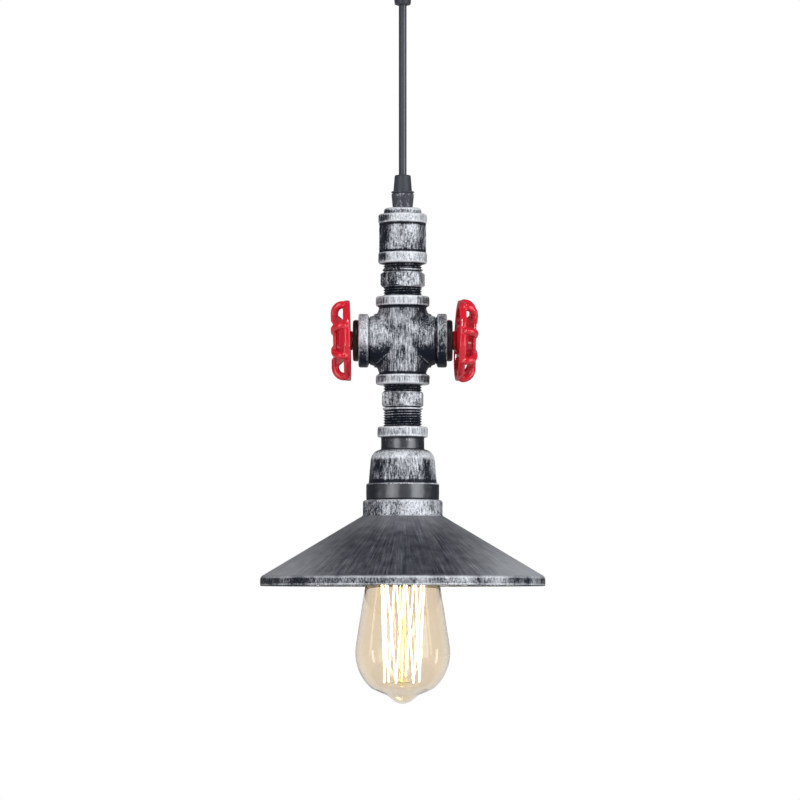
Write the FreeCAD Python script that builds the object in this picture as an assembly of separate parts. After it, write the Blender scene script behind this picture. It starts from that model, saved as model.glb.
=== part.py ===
import FreeCAD, Part
import math
import os

# Pendant lamp built from pipe fittings, hanging on its cord from a ceiling fitting.
# Millimetres, +Z up. The origin is where the lamp's axis meets the ceiling.

# Fits
thread_play = 0.05          # radial, between a screwed or pushed-in piece and its bore
turning_play = 0.05         # radial, between a turning piece and what it turns on
end_play = 0.15             # along the axis of a turning piece
cable_play = 0.05           # radial, between a cable and what holds it
mouth_play = 0.15           # between a swinging cord and the edge of its hole
edge_round = 0.5            # rounding of small turned edges
hex_chamfer = 0.45          # from a flat of a hexagon to the circle of its chamfer
hex_chamfer_angle = 30.0    # degrees
crest_share = 0.2           # share of a thread's pitch that is flat crest
bend_share = 0.45           # share of a straight run that a wire's bend may take
corner_share = 0.98         # share of a side that its two roundings may take
driver_slot_ratio = 0.4     # width of a driver's slot over the screw's radius

# Ceiling fitting
canopy_radius = 50.0
canopy_height = 30.0
canopy_wall = 1.2
canopy_corner = 7.0
bracket_width = 18.0
bracket_thickness = 2.0
ear_height = 14.0
ear_gap = 0.3               # between the bracket's ears and the canopy
slot_spacing = 60.0
slot_length = 16.0
slot_width = 5.0
canopy_screw_drop = 9.0     # below the ceiling
canopy_screw_radius = 2.0
canopy_screw_length = 8.0
screw_head_ratio = 1.8      # head radius over shank radius of every pan head
block_length = 26.0
block_depth = 16.0
block_height = 11.0
block_step = 3.7            # cut from its two lower edges
pole_drop = 5.0             # of the poles below the strap
pole_spacing = 8.5
pole_screw_radius = 1.8
pole_screw_slot = 1.0       # depth
pole_screw_place = 2.4      # from the block's middle
pole_hole_radius = 1.5
block_screw_radius = 1.3
earth_screw_place = 17.0    # from the axis
earth_screw_radius = 2.0

# Cord and cord grips
cord_radius = 2.75
cord_free_length = 121.0
cord_stub_length = 13.0     # from the ceiling grip to the second bend
swing_limit = 30.0          # degrees
core_radius = 0.95
core_offset = 1.3
core_count = 3
earth_core_offset = 1.56    # in the bell, where it leaves the other two
grip_mouth_radius = 5.65
grip_cap_radius = 6.6
grip_cap_length = 11.6
grip_cap_wall = 1.3
grip_cap_floor = 2.6
grip_clamp_length = 4.0
grip_clamp_solid = 1.3      # end of the clamp that isn't slit
grip_clamp_slit = 0.6
grip_clamp_slits = 4
grip_collar_radius = 8.05
grip_collar_height = 3.2
grip_shoulder_radius = 7.7
grip_foot_radius = 7.0
grip_body_length = 8.8
gland_radius = 5.0          # thread of the grips and of the hanger tube
gland_nut_flats = 14.0
gland_nut_height = 4.0
gland_spare_thread = 1.5    # that stands past the nut

# Pipe thread, three-quarter inch
thread_radius = 13.22
thread_depth = 1.16
thread_pitch = 1.814
engaged_length = 11.0
pipe_bore = 9.5             # radius
fitting_bore = 12.0         # radius behind the threads of a fitting

# Column of fittings, from the top down
plug_rise = 4.2
plug_round = 1.8
plug_boss_length = 10.0
plug_wall = 2.8
coupling_length = 35.0
coupling_radius = 15.5
coupling_band_radius = 16.9
coupling_band_length = 7.0
coupling_rib_radius = 16.4
coupling_rib_width = 4.0
upper_gap = 5.9             # thread that shows above the upper hexagon
upper_hex_height = 10.2
upper_hex_turn = 73.8       # degrees
cross_gap = 7.0             # thread that shows above the cross
hex_flats = 28.0
hex_ring_radius = 13.6      # turned ring beside a hexagon, on its side away from the cross
hex_ring_height = 1.1
hex_ring_groove = 0.9       # between the ring and the hexagon
cross_length = 62.2
cross_radius = 16.0
cross_arm_radius = 15.2
cross_band_radius = 18.4
cross_band_length = 7.0
cross_fillet = 4.5
socket_depth = 14.0
below_cross_gap = 5.1
lower_hex_height = 10.4
lower_hex_turn = 85.5       # degrees
long_thread = 14.2

# Bell reducer
bell_band_radius = 17.75
bell_band_length = 7.2
bell_neck_radius = 15.15
bell_neck_length = 8.5
bell_shoulder_length = 5.6
bell_radius = 21.8
bell_foot_radius = 23.8
bell_body_length = 18.5
bell_rim_radius = 25.6
bell_rim_length = 11.6
bell_wall = 3.2
bell_bend = 6.4             # rounding of its neck and shoulder
bell_rim_round = 1.5
bell_engaged_length = 9.0
ledge_thickness = 4.0

# Handwheels and the plugs they stand on
side_plug_radius = 14.65
side_plug_thickness = 4.0
side_plug_round = 1.6
side_boss_length = 11.0
screw_boss_radius = 6.0
screw_boss_length = 5.5
wheel_screw_radius = 3.0
wheel_screw_reach = 7.7     # into the plug, from the cross's end
wheel_screw_head_radius = 5.0
wheel_screw_head_height = 2.6
washer_radius = 5.6
washer_thickness = 0.8
wheel_radius = 27.6
wheel_crown_radius = 24.9
wheel_height = 12.2
wheel_wall = 2.3
wheel_dome_round = 10.5
wheel_eye_radius = 15.4
wheel_hub_radius = 6.85
wheel_hub_back = 2.85       # from the wheel's back plane to the plug
wheel_hub_front = 5.4
wheel_lobes = 6
wheel_bead_height = 1.3     # on the crown
wheel_bead_foot = 0.3       # at the back plane
wheel_bead_angle = 21.0     # degrees from a window's middle
wheel_bead_span = 7.0       # degrees
wheel_valley_depth = 1.0
wheel_valley_span = 10.0    # degrees
window_base = 4.9
window_height = 4.3
window_width = 12.6
window_round = 1.6
spoke_width = 4.2
spoke_thickness = 2.8
right_wheel_turn = 7.0      # degrees, as it stopped

# Shade
shade_radius = 100.0
shade_neck_radius = 28.0
shade_neck_height = 11.0
shade_cone_height = 42.9
shade_rim_height = 6.4
shade_sheet = 1.0

# Lampholder
hanger_bore = 3.4           # radius
bridge_thickness = 2.0
tag_thickness = 0.5
tag_width = 1.9
holder_radius = 19.5
holder_mouth_gap = 1.45     # between the skirt and the bell's mouth
holder_side_gap = 0.3       # between the cap and the bell's inside
holder_top_gap = 2.8        # between the cap and the bell's ledge
holder_wall = 1.4
holder_cap_round = 5.6
holder_neck_radius = 7.5
holder_neck_length = 8.0
insert_rise = 1.3           # of the insert's lower face above the bell's foot
insert_thickness = 9.0
insert_radius = 15.0
skirt_shoulder_rise = 6.0   # from the insert's lower face to the cap's foot
skirt_thread_depth = 0.7
skirt_thread_pitch = 2.8
shell_wall = 0.5
shell_lift = 1.5            # of the shell's foot above the skirt's
holder_thread_radius = 13.4
contact_radius = 3.5
contact_spring = 1.9        # height of the centre contact
shade_ring_radius = 25.0
shade_ring_height = 5.0
shade_ring_notches = 24
shade_ring_notch = 1.0      # width
shade_ring_notch_depth = 0.75
holder_screw_radius = 1.6
holder_screw_place = 8.0    # from the axis

# Bulb
bulb_length = 142.0
bulb_cap_length = 25.5
bulb_cap_radius = 13.1
bulb_thread_depth = 0.75
bulb_thread_pitch = 3.62
bulb_neck_radius = 11.9
bulb_neck_seat = 8.5        # length of the neck inside the cap
bulb_flare_drop = 4.5       # from the cap's foot to where the glass widens
bulb_flare_round = 11.0
bulb_shoulder_round = 33.0
bulb_shoulder_drop = 54.0   # from the bulb's contact
bulb_radius = 33.2
bulb_flank_angle = 8.2      # degrees
bulb_waist_drop = 108.0     # from the bulb's contact to the round part's centre
bulb_base_radius = 20.5
bulb_tip_radius = 12.2
bulb_tip_height = 5.8
bulb_tip_round = 3.0
glass_wall = 0.9
bulb_contact_radius = 4.8
bulb_contact_height = 1.4
insulator_height = 3.4
cage_radius = 15.6
cage_foot_radius = 13.2
cage_top_drop = 48.0        # from the bulb's contact
cage_foot_drop = 127.0      # from the bulb's contact
cage_strands = 12
filament_radius = 0.35
support_radius = 0.25
stem_radius = 2.2
stem_button_radius = 3.0
stem_press_radius = 4.5
stem_press_drop = 12.75     # from the cap's foot to the end of the press
lead_radius = 0.4

# Heights along the lamp's axis
grip_length = grip_cap_length + grip_collar_height + grip_body_length
ceiling_mouth = -canopy_height - grip_length
second_bend = ceiling_mouth - cord_stub_length
lamp_mouth = ceiling_mouth - cord_free_length
plug_top = lamp_mouth - grip_length
coupling_top = plug_top - plug_rise
coupling_foot = coupling_top - coupling_length
upper_hex_top = coupling_foot - upper_gap
upper_hex_foot = upper_hex_top - upper_hex_height
cross_top = upper_hex_foot - cross_gap
cross_centre = cross_top - cross_length / 2
cross_foot = cross_top - cross_length
lower_hex_top = cross_foot - below_cross_gap
lower_hex_foot = lower_hex_top - lower_hex_height
bell_top = lower_hex_foot - long_thread
bell_foot = (bell_top - bell_band_length - bell_neck_length - bell_shoulder_length
             - bell_body_length - bell_rim_length)
ledge_top = bell_top - bell_engaged_length - 2 * end_play - bridge_thickness
ledge_foot = ledge_top - ledge_thickness
holder_top = ledge_foot - holder_top_gap
holder_cap_top = holder_top - holder_neck_length
shade_neck_foot = bell_foot - shade_neck_height
shade_cone_foot = shade_neck_foot - shade_cone_height
shade_foot = shade_cone_foot - shade_rim_height
insert_foot = bell_foot + insert_rise
insert_top = insert_foot + insert_thickness
skirt_shoulder = insert_foot + skirt_shoulder_rise
bulb_top = insert_foot - contact_spring
bulb_tip = bulb_top - bulb_length

# Radii worked out from what the pieces fit
socket_radius = thread_radius + thread_play
bell_mouth_radius = holder_radius + holder_mouth_gap
holder_cap_radius = min(bell_radius, bell_foot_radius) - bell_wall - holder_side_gap
holder_cap_bore = holder_cap_radius - holder_wall
core_bend = 3 * core_radius

UP = FreeCAD.Vector(0, 0, 1)
ORIGIN = FreeCAD.Vector(0, 0, 0)


# Shapes that several pieces use

def place(radius, height):
    return FreeCAD.Vector(radius, 0, height)


def rounded_edges(corners, closed=True):
    """Edges of an outline. A corner is (radius, height) or (radius, height, rounding)."""
    count = len(corners)
    spots = [place(corner[0], corner[1]) for corner in corners]
    halves = []
    setbacks = []
    for i, corner in enumerate(corners):
        back = spots[i - 1] - spots[i]
        ahead = spots[(i + 1) % count] - spots[i]
        halves.append(back.getAngle(ahead) / 2)
        setbacks.append(corner[2] / math.tan(halves[i]) if len(corner) == 3 else 0.0)
    starts = []
    ends = []
    edges = []
    for i in range(count):
        before = i - 1
        after = (i + 1) % count
        room = 1.0
        for other in (before, after):
            needed = setbacks[i] + setbacks[other]
            length = (spots[other] - spots[i]).Length
            if needed > length:
                room = min(room, corner_share * length / needed)
        setback = setbacks[i] * room
        back = (spots[before] - spots[i]).normalize()
        ahead = (spots[after] - spots[i]).normalize()
        starts.append(spots[i] + back * setback)
        ends.append(spots[i] + ahead * setback)
        arc = None
        if setback > 0:
            radius = setback * math.tan(halves[i])
            inward = (back + ahead).normalize()
            middle = spots[i] + inward * (radius / math.sin(halves[i]) - radius)
            arc = Part.Arc(starts[i], middle, ends[i]).toShape()
        edges.append(arc)
    path = []
    for i in range(count if closed else count - 1):
        if edges[i]:
            path.append(edges[i])
        path.append(Part.LineSegment(ends[i], starts[(i + 1) % count]).toShape())
    return path


def spun(*corners):
    """Solid turned about the lamp's axis from its outline."""
    face = Part.Face(Part.Wire(rounded_edges(corners)))
    return face.revolve(ORIGIN, UP, 360)


def rod(radius, low, high):
    return Part.makeCylinder(radius, high - low, place(0, low))


def ring(outer, inner, low, high):
    return rod(outer, low, high).cut(rod(inner, low, high))


def ball(radius, height):
    return Part.makeSphere(radius, place(0, height))


def box(low, high):
    size = [high[i] - low[i] for i in range(3)]
    return Part.makeBox(*size, FreeCAD.Vector(*low))


def fused(shapes):
    """One solid out of pieces that run into each other."""
    first = shapes[0]
    return first.multiFuse(shapes[1:]).removeSplitter()


def around(shape, count, first=0.0):
    """Copies of a shape, evenly spaced about the lamp's axis."""
    copies = []
    for i in range(count):
        copy = shape.copy()
        copy.rotate(ORIGIN, UP, first + 360.0 * i / count)
        copies.append(copy)
    return copies


def moved(shape, x=0.0, y=0.0, z=0.0):
    copy = shape.copy()
    copy.translate(FreeCAD.Vector(x, y, z))
    return copy


def turned(shape, axis, angle):
    copy = shape.copy()
    copy.rotate(ORIGIN, FreeCAD.Vector(*axis), angle)
    return copy


def on_arm(shape, side):
    """A shape built upwards from the origin, laid along an arm of the cross; side is -1 or 1."""
    return moved(turned(shape, (0, 1, 0), 90 * side), z=cross_centre)


def hexagon(flats, low, high, turn=0.0, bore=0.0):
    """Chamfered six-sided prism, such as a nut, with an optional bore."""
    corner = flats / math.sqrt(3)
    angles = [math.radians(turn + 60 * i) for i in range(6)]
    spots = [FreeCAD.Vector(corner * math.cos(angle), corner * math.sin(angle), low) for angle in angles]
    outline = Part.makePolygon(spots + spots[:1])
    prism = Part.Face(outline).extrude(FreeCAD.Vector(0, 0, high - low))
    flat = flats / 2 - hex_chamfer
    slope = (corner - flat) * math.tan(math.radians(hex_chamfer_angle))
    prism = prism.common(spun((0, low), (flat, low), (corner, low + slope),
                              (corner, high - slope), (flat, high), (0, high)))
    return prism.cut(rod(bore, low, high)) if bore else prism


def thread_corners(crest, depth, pitch, top, foot):
    """Corners along the outside of a thread from its top to its foot, drawn as even rings."""
    turns = max(1, int(abs(top - foot) / pitch))
    step = (top - foot) / turns
    flank = step * (1 - crest_share) / 2
    corners = []
    for i in range(turns):
        start = top - i * step
        corners += [(crest - depth, start), (crest, start - flank), (crest, start - step + flank)]
    return corners + [(crest - depth, foot)]


def bent_wire(points, radius, bend):
    """Round wire along straight runs joined by tangent arcs."""
    spots = [FreeCAD.Vector(*point) for point in points]
    edges = []
    here = spots[0]
    for i in range(1, len(spots) - 1):
        back = spots[i - 1] - spots[i]
        ahead = spots[i + 1] - spots[i]
        half = back.getAngle(ahead) / 2
        setback = min(bend / math.tan(half), bend_share * min(back.Length, ahead.Length))
        start = spots[i] + back.normalize() * setback
        end = spots[i] + ahead.normalize() * setback
        inward = (back + ahead).normalize()
        curve = setback * math.tan(half)
        middle = spots[i] + inward * (curve / math.sin(half) - curve)
        edges.append(Part.LineSegment(here, start).toShape())
        edges.append(Part.Arc(start, middle, end).toShape())
        here = end
    edges.append(Part.LineSegment(here, spots[-1]).toShape())
    path = Part.Wire(edges)
    first = (spots[1] - spots[0]).normalize()
    section = Part.Wire(Part.Circle(spots[0], first, radius).toShape())
    return path.makePipeShell([section], True, False)


def driver_slot(radius, reach, low, high):
    """Block that cuts a driver's slot across a head which reaches this far from its axis."""
    half = radius * driver_slot_ratio / 2
    return box((-reach, -half, low), (reach, half, high))


def pan_screw(radius, length, head_height):
    """Screw whose head stands above z = 0 and whose shank runs down from it."""
    head_radius = radius * screw_head_ratio
    head = spun((0, 0), (head_radius, 0), (head_radius, head_height, head_height / 2), (0, head_height))
    head = head.cut(driver_slot(radius, head_radius, head_height / 2, head_height))
    return head.fuse(rod(radius, -length, 0)).removeSplitter()


# Ceiling fitting

canopy_inside = canopy_radius - canopy_wall
ear_face = math.sqrt((canopy_inside - ear_gap) ** 2 - (bracket_width / 2) ** 2)


def ceiling_bracket():
    half = bracket_width / 2
    shape = box((-ear_face, -half, -bracket_thickness), (ear_face, half, 0))
    for side in (-1, 1):
        inner, outer = sorted((side * (ear_face - bracket_thickness), side * ear_face))
        shape = shape.fuse(box((inner, -half, -ear_height), (outer, half, 0)))
    for side in (-1, 1):
        reach = slot_length / 2 - slot_width / 2
        centre = side * slot_spacing / 2
        for end in (-reach, reach):
            shape = shape.cut(moved(rod(slot_width / 2, -bracket_thickness, 0), x=centre + end))
        shape = shape.cut(box((centre - reach, -slot_width / 2, -bracket_thickness),
                              (centre + reach, slot_width / 2, 0)))
    holes = [moved(rod(block_screw_radius + thread_play, -bracket_thickness, 0), x=side * pole_spacing / 2)
             for side in (-1, 1)]
    holes.append(moved(rod(earth_screw_radius + thread_play, -bracket_thickness, 0), x=earth_screw_place))
    holes.append(canopy_screw_hole())
    return shape.cut(holes).removeSplitter()


def canopy_screw_hole():
    across = turned(rod(canopy_screw_radius + thread_play, -canopy_radius, canopy_radius), (0, 1, 0), 90)
    return moved(across, z=-canopy_screw_drop)


def canopy():
    shell = spun((canopy_radius, 0), (canopy_radius, -canopy_height, canopy_corner),
                 (gland_radius + thread_play, -canopy_height),
                 (gland_radius + thread_play, -canopy_height + canopy_wall),
                 (canopy_inside, -canopy_height + canopy_wall, canopy_corner - canopy_wall),
                 (canopy_inside, 0))
    return shell.cut(canopy_screw_hole())


def canopy_screws():
    screw = pan_screw(canopy_screw_radius, canopy_screw_length, canopy_screw_radius)
    return Part.Compound([moved(turned(screw, (0, 1, 0), 90 * side),
                                x=side * canopy_radius, z=-canopy_screw_drop)
                          for side in (-1, 1)])


block_top = -bracket_thickness
block_foot = block_top - block_height
pole_height = block_top - pole_drop


def pole_places():
    return [(i - 1) * pole_spacing for i in range(core_count)]


def terminal_block():
    half_length = block_length / 2
    half_depth = block_depth / 2
    body = box((-half_length, -half_depth, block_foot), (half_length, half_depth, block_top))
    for side in (-1, 1):
        low, high = sorted((side * (half_depth - block_step), side * half_depth))
        body = body.cut(box((-half_length, low, block_foot), (half_length, high, block_foot + block_step)))
    cuts = []
    for x in pole_places():
        across = turned(rod(pole_hole_radius, -half_depth, half_depth), (1, 0, 0), 90)
        cuts.append(moved(across, x=x, z=pole_height))
        for side in (-1, 1):
            cuts.append(moved(rod(pole_screw_radius + thread_play, block_foot, pole_height),
                              x=x, y=side * pole_screw_place))
    for side in (-1, 1):
        cuts.append(moved(rod(block_screw_radius + thread_play, block_foot, block_top),
                          x=side * pole_spacing / 2))
    return body.cut(cuts)


def terminal_screws():
    """Clamp screws whose ends stop against the cores."""
    low = block_foot + edge_round
    screw = rod(pole_screw_radius, low, pole_height - core_radius - thread_play)
    screw = screw.cut(driver_slot(pole_screw_radius, pole_screw_radius, low, low + pole_screw_slot))
    return Part.Compound([moved(screw, x=x, y=side * pole_screw_place)
                          for x in pole_places() for side in (-1, 1)])


def block_screws():
    length = block_height + bracket_thickness
    screw = turned(pan_screw(block_screw_radius, length, block_screw_radius), (1, 0, 0), 180)
    return Part.Compound([moved(screw, x=side * pole_spacing / 2, z=block_foot) for side in (-1, 1)])


def earth_screw():
    screw = turned(pan_screw(earth_screw_radius, bracket_thickness, earth_screw_radius), (1, 0, 0), 180)
    return moved(screw, x=earth_screw_place, z=-bracket_thickness)


# Cord grips, built upwards from the mouth where the cord leaves

grip_cavity = grip_mouth_radius - grip_cap_wall
swing = math.radians(swing_limit)
cord_hole = cord_radius + 2 * cable_play
dome_gap = cord_radius * math.sin(swing) + 2 * cable_play


def grip_cap():
    flare = cord_radius / math.cos(swing) + mouth_play
    return spun((flare, 0), (grip_mouth_radius, 0, edge_round * 2), (grip_cap_radius, grip_cap_length),
                (grip_cavity, grip_cap_length), (grip_cavity, grip_cap_floor), (cord_hole, grip_cap_floor),
                (cord_hole, dome_gap))


def grip_clamp():
    high = grip_cap_floor + grip_clamp_length
    sleeve = ring(grip_cavity - thread_play, cord_radius + cable_play, grip_cap_floor, high)
    slit = box((cord_radius, -grip_clamp_slit / 2, grip_cap_floor + grip_clamp_solid),
               (grip_cavity, grip_clamp_slit / 2, high))
    return sleeve.cut(around(slit, grip_clamp_slits))


def grip_stem_end(plate):
    return grip_length + plate + gland_nut_height + gland_spare_thread


def grip_body(plate):
    """Body of a cord grip whose thread goes through a plate of this thickness."""
    foot = grip_length
    bore = cord_radius + cable_play
    sleeve = grip_cavity - thread_play
    sleeve_end = grip_cap_floor + grip_clamp_length
    collar_top = grip_cap_length + grip_collar_height
    stem_end = grip_stem_end(plate)
    return spun((bore, sleeve_end), (sleeve, sleeve_end), (sleeve, grip_cap_length),
                (grip_collar_radius, grip_cap_length, edge_round),
                (grip_collar_radius, collar_top, edge_round), (grip_shoulder_radius, collar_top),
                (grip_foot_radius, foot), (gland_radius, foot), (gland_radius, stem_end), (bore, stem_end))


def grip_nut(plate):
    low = grip_length + plate
    return hexagon(gland_nut_flats, low, low + gland_nut_height, 0, gland_radius + thread_play)


def from_ceiling_mouth(shape):
    return moved(shape, z=ceiling_mouth)


def from_lamp_mouth(shape):
    return moved(turned(shape, (1, 0, 0), 180), z=lamp_mouth)


# Cord and cores

def supply_cord():
    high = grip_stem_end(canopy_wall) + core_radius
    sheath = rod(cord_radius, dome_gap, high).cut(ball(cord_radius + cable_play, 0))
    return from_ceiling_mouth(sheath)


def supply_cores():
    start = ceiling_mouth + grip_stem_end(canopy_wall) + core_radius
    low = (start + block_foot) / 2
    reach = -block_depth / 2 - core_bend
    clamped = pole_screw_radius - pole_screw_place
    cores = []
    for i, x in enumerate(pole_places()):
        angle = math.radians(90 - 360 / core_count * (i - 1))
        foot_x = core_offset * math.cos(angle)
        foot_y = core_offset * math.sin(angle)
        cores.append(bent_wire([(foot_x, foot_y, start), (foot_x, foot_y, start + 2 * core_radius),
                                (x, reach, low), (x, reach - core_radius, pole_height),
                                (x, clamped, pole_height)], core_radius, core_bend))
    return Part.Compound(cores)


def cord_upper():
    low = second_bend + dome_gap
    tube = rod(cord_radius, low, ceiling_mouth).fuse(ball(cord_radius, ceiling_mouth))
    return tube.cut(ball(cord_radius + cable_play, second_bend)).removeSplitter()


def cord_lower():
    tube = rod(cord_radius, lamp_mouth - dome_gap, second_bend)
    return tube.fuse(ball(cord_radius, second_bend)).removeSplitter()


# Column of pipe fittings

def top_plug():
    boss_foot = coupling_top - plug_boss_length
    inside = thread_radius - plug_wall
    return spun((gland_radius + thread_play, plug_top), (thread_radius, plug_top, plug_round),
                (thread_radius, boss_foot), (inside, boss_foot), (inside, coupling_top),
                (gland_radius + thread_play, coupling_top))


def pipe_coupling():
    band = coupling_band_length
    shape = spun((socket_radius, coupling_top), (coupling_band_radius, coupling_top, edge_round * 2),
                 (coupling_band_radius, coupling_top - band, edge_round),
                 (coupling_radius, coupling_top - band, edge_round),
                 (coupling_radius, coupling_foot + band, edge_round),
                 (coupling_band_radius, coupling_foot + band, edge_round),
                 (coupling_band_radius, coupling_foot, edge_round * 2),
                 (socket_radius, coupling_foot))
    rib = box((-coupling_rib_radius, -coupling_rib_width / 2, coupling_foot + band / 2),
              (coupling_rib_radius, coupling_rib_width / 2, coupling_top - band / 2))
    return shape.fuse(rib).cut(rod(socket_radius, coupling_foot, coupling_top)).removeSplitter()


def threaded_end(tip, hex_face, ringed):
    """Threaded tube from its tip to a hexagon, with a turned ring and a groove before it if ringed."""
    side = math.copysign(1, tip - hex_face)
    groove = hex_face + side * hex_ring_groove
    ring_end = groove + side * hex_ring_height
    root = thread_radius - thread_depth
    thread_end = ring_end if ringed else hex_face
    thread = thread_corners(thread_radius, thread_depth, thread_pitch, tip, thread_end)
    turned_ring = [(hex_ring_radius, ring_end, hex_ring_height / 4),
                   (hex_ring_radius, groove, hex_ring_height / 4), (root, groove), (root, hex_face)]
    return spun((pipe_bore, tip), *thread, *(turned_ring if ringed else []), (pipe_bore, hex_face))


def nipple(upper_tip, top_hex, foot_hex, lower_tip, turn, ringed_above):
    """Hexagon nipple with a thread above and below its hexagon."""
    return fused([hexagon(hex_flats, foot_hex, top_hex, turn, pipe_bore),
                  threaded_end(upper_tip, top_hex, ringed_above),
                  threaded_end(lower_tip, foot_hex, not ringed_above)])


def upper_nipple():
    return nipple(coupling_foot + engaged_length, upper_hex_top, upper_hex_foot,
                  cross_top - engaged_length, upper_hex_turn, True)


def lower_nipple():
    return nipple(cross_foot + engaged_length, lower_hex_top, lower_hex_foot,
                  bell_top - bell_engaged_length, lower_hex_turn, False)


def cross_arm_band():
    """Band round the end of one arm, built upwards from the cross's centre."""
    high = cross_length / 2
    low = high - cross_band_length
    return spun((fitting_bore, low), (cross_band_radius, low, edge_round * 2),
                (cross_band_radius, high, edge_round * 2), (fitting_bore, high))


def pipe_cross():
    half = cross_length / 2
    upright = rod(cross_radius, -half, half)
    level = turned(rod(cross_arm_radius, -half, half), (0, 1, 0), 90)
    body = upright.fuse(level).removeSplitter()
    extents = [(edge.BoundBox.XLength, edge.BoundBox.YLength, edge.BoundBox.ZLength) for edge in body.Edges]
    seams = [edge for edge, extent in zip(body.Edges, extents) if min(extent) > cross_fillet / 2]
    body = body.makeFillet(cross_fillet, seams)
    bands = [turned(cross_arm_band(), (0, 1, 0), 90 * i) for i in range(4)]
    bores = [turned(rod(socket_radius, half - socket_depth, half), (0, 1, 0), 90 * i) for i in range(4)]
    bores += [turned(rod(fitting_bore, -half, half), (0, 1, 0), 90 * i) for i in range(2)]
    return moved(fused([body] + bands).cut(bores), z=cross_centre)


def bell_reducer():
    neck_top = bell_top - bell_band_length
    shoulder_top = neck_top - bell_neck_length
    shoulder_foot = shoulder_top - bell_shoulder_length
    rim_top = bell_foot + bell_rim_length
    return spun((socket_radius, bell_top), (bell_band_radius, bell_top, edge_round * 2),
                (bell_band_radius, neck_top, edge_round), (bell_neck_radius, neck_top, edge_round),
                (bell_neck_radius, shoulder_top, bell_bend), (bell_radius, shoulder_foot, bell_bend),
                (bell_foot_radius, rim_top, edge_round), (bell_rim_radius, rim_top, bell_rim_round),
                (bell_rim_radius, bell_foot, edge_round * 2), (bell_mouth_radius, bell_foot),
                (bell_mouth_radius, rim_top), (bell_foot_radius - bell_wall, rim_top),
                (bell_radius - bell_wall, shoulder_foot, bell_bend),
                (pipe_bore + bell_wall, ledge_foot), (pipe_bore, ledge_foot), (pipe_bore, ledge_top),
                (socket_radius, ledge_top))


# Handwheels, built upwards from the cross's centre along an arm

plug_face = cross_length / 2 + side_plug_thickness
wheel_back = plug_face + end_play + wheel_hub_back
hub_front = wheel_back + wheel_hub_front
washer_back = hub_front + end_play
head_back = washer_back + washer_thickness


def side_plug():
    seat = cross_length / 2
    boss_end = seat - side_boss_length
    hole = wheel_screw_radius + thread_play
    inside = thread_radius - plug_wall
    return spun((hole, plug_face), (side_plug_radius, plug_face, side_plug_round),
                (side_plug_radius, seat, edge_round), (thread_radius, seat), (thread_radius, boss_end),
                (inside, boss_end), (inside, seat), (screw_boss_radius, seat),
                (screw_boss_radius, seat - screw_boss_length), (hole, seat - screw_boss_length))


def wheel_screw():
    top = head_back + wheel_screw_head_height
    middle = head_back + wheel_screw_head_height / 2
    head = spun((0, head_back), (wheel_screw_head_radius, head_back),
                (wheel_screw_head_radius, top, wheel_screw_head_height / 2), (0, top))
    head = head.cut(driver_slot(wheel_screw_radius, wheel_screw_head_radius, middle, top))
    shank = rod(wheel_screw_radius, cross_length / 2 - wheel_screw_reach, head_back)
    return head.fuse(shank).removeSplitter()


def wheel_washer():
    return ring(washer_radius, wheel_screw_radius + thread_play, washer_back, head_back)


wheel_inner_crown = wheel_height - wheel_wall
lobe_step = 360.0 / wheel_lobes


def wheel_dome(rim_growth=0.0, crown_growth=0.0):
    """Hollow dome with its back plane at height 0; its outside can be a little larger."""
    crown = wheel_height + crown_growth
    return spun((wheel_radius + rim_growth, 0, edge_round),
                (wheel_crown_radius + crown_growth, crown, wheel_dome_round),
                (wheel_eye_radius, crown, edge_round * 2),
                (wheel_eye_radius, wheel_inner_crown, edge_round),
                (wheel_crown_radius - wheel_wall, wheel_inner_crown, wheel_dome_round - wheel_wall),
                (wheel_radius - wheel_wall, 0, edge_round))


def pie(span, middle, low, high):
    """Slice of a large disc, centred on an angle."""
    piece = Part.makeCylinder(2 * wheel_radius, high - low, place(0, low), UP, span)
    return turned(piece, (0, 0, 1), middle - span / 2)


def wheel_beads():
    """Raised bands over the dome, two beside each window."""
    top = wheel_height + 2 * wheel_bead_height
    bands = [pie(wheel_bead_span, side * wheel_bead_angle + lobe_step * i, 0, top)
             for i in range(wheel_lobes) for side in (-1, 1)]
    return wheel_dome(wheel_bead_foot, wheel_bead_height).common(Part.Compound(bands)).Solids


def wheel_valleys():
    """What is cut from the dome between each pair of lobes."""
    crown = wheel_height - wheel_valley_depth
    kept = spun((0, 0), (wheel_radius - wheel_valley_depth, 0),
                (wheel_crown_radius - wheel_valley_depth, crown, wheel_dome_round), (0, crown))
    return [pie(wheel_valley_span, lobe_step * (i + 0.5), window_base, 2 * wheel_height).cut(kept)
            for i in range(wheel_lobes)]


def wheel_spoke():
    foot = wheel_hub_front - spoke_thickness
    tip = wheel_eye_radius + wheel_wall
    outline = Part.makePolygon([place(wheel_screw_head_radius, foot), place(wheel_hub_radius, foot),
                                place(tip, wheel_inner_crown - wheel_valley_depth),
                                place(tip, wheel_height - wheel_valley_depth),
                                place(wheel_hub_radius, wheel_hub_front),
                                place(wheel_screw_head_radius, wheel_hub_front),
                                place(wheel_screw_head_radius, foot)])
    return moved(Part.Face(outline).extrude(FreeCAD.Vector(0, spoke_width, 0)), y=-spoke_width / 2)


def wheel_window():
    cutter = box((wheel_eye_radius + wheel_wall / 2, -window_width / 2, window_base),
                 (2 * wheel_radius, window_width / 2, window_base + window_height))
    along = [edge for edge in cutter.Edges if edge.BoundBox.XLength > wheel_wall]
    return cutter.makeFillet(window_round, along)


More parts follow.
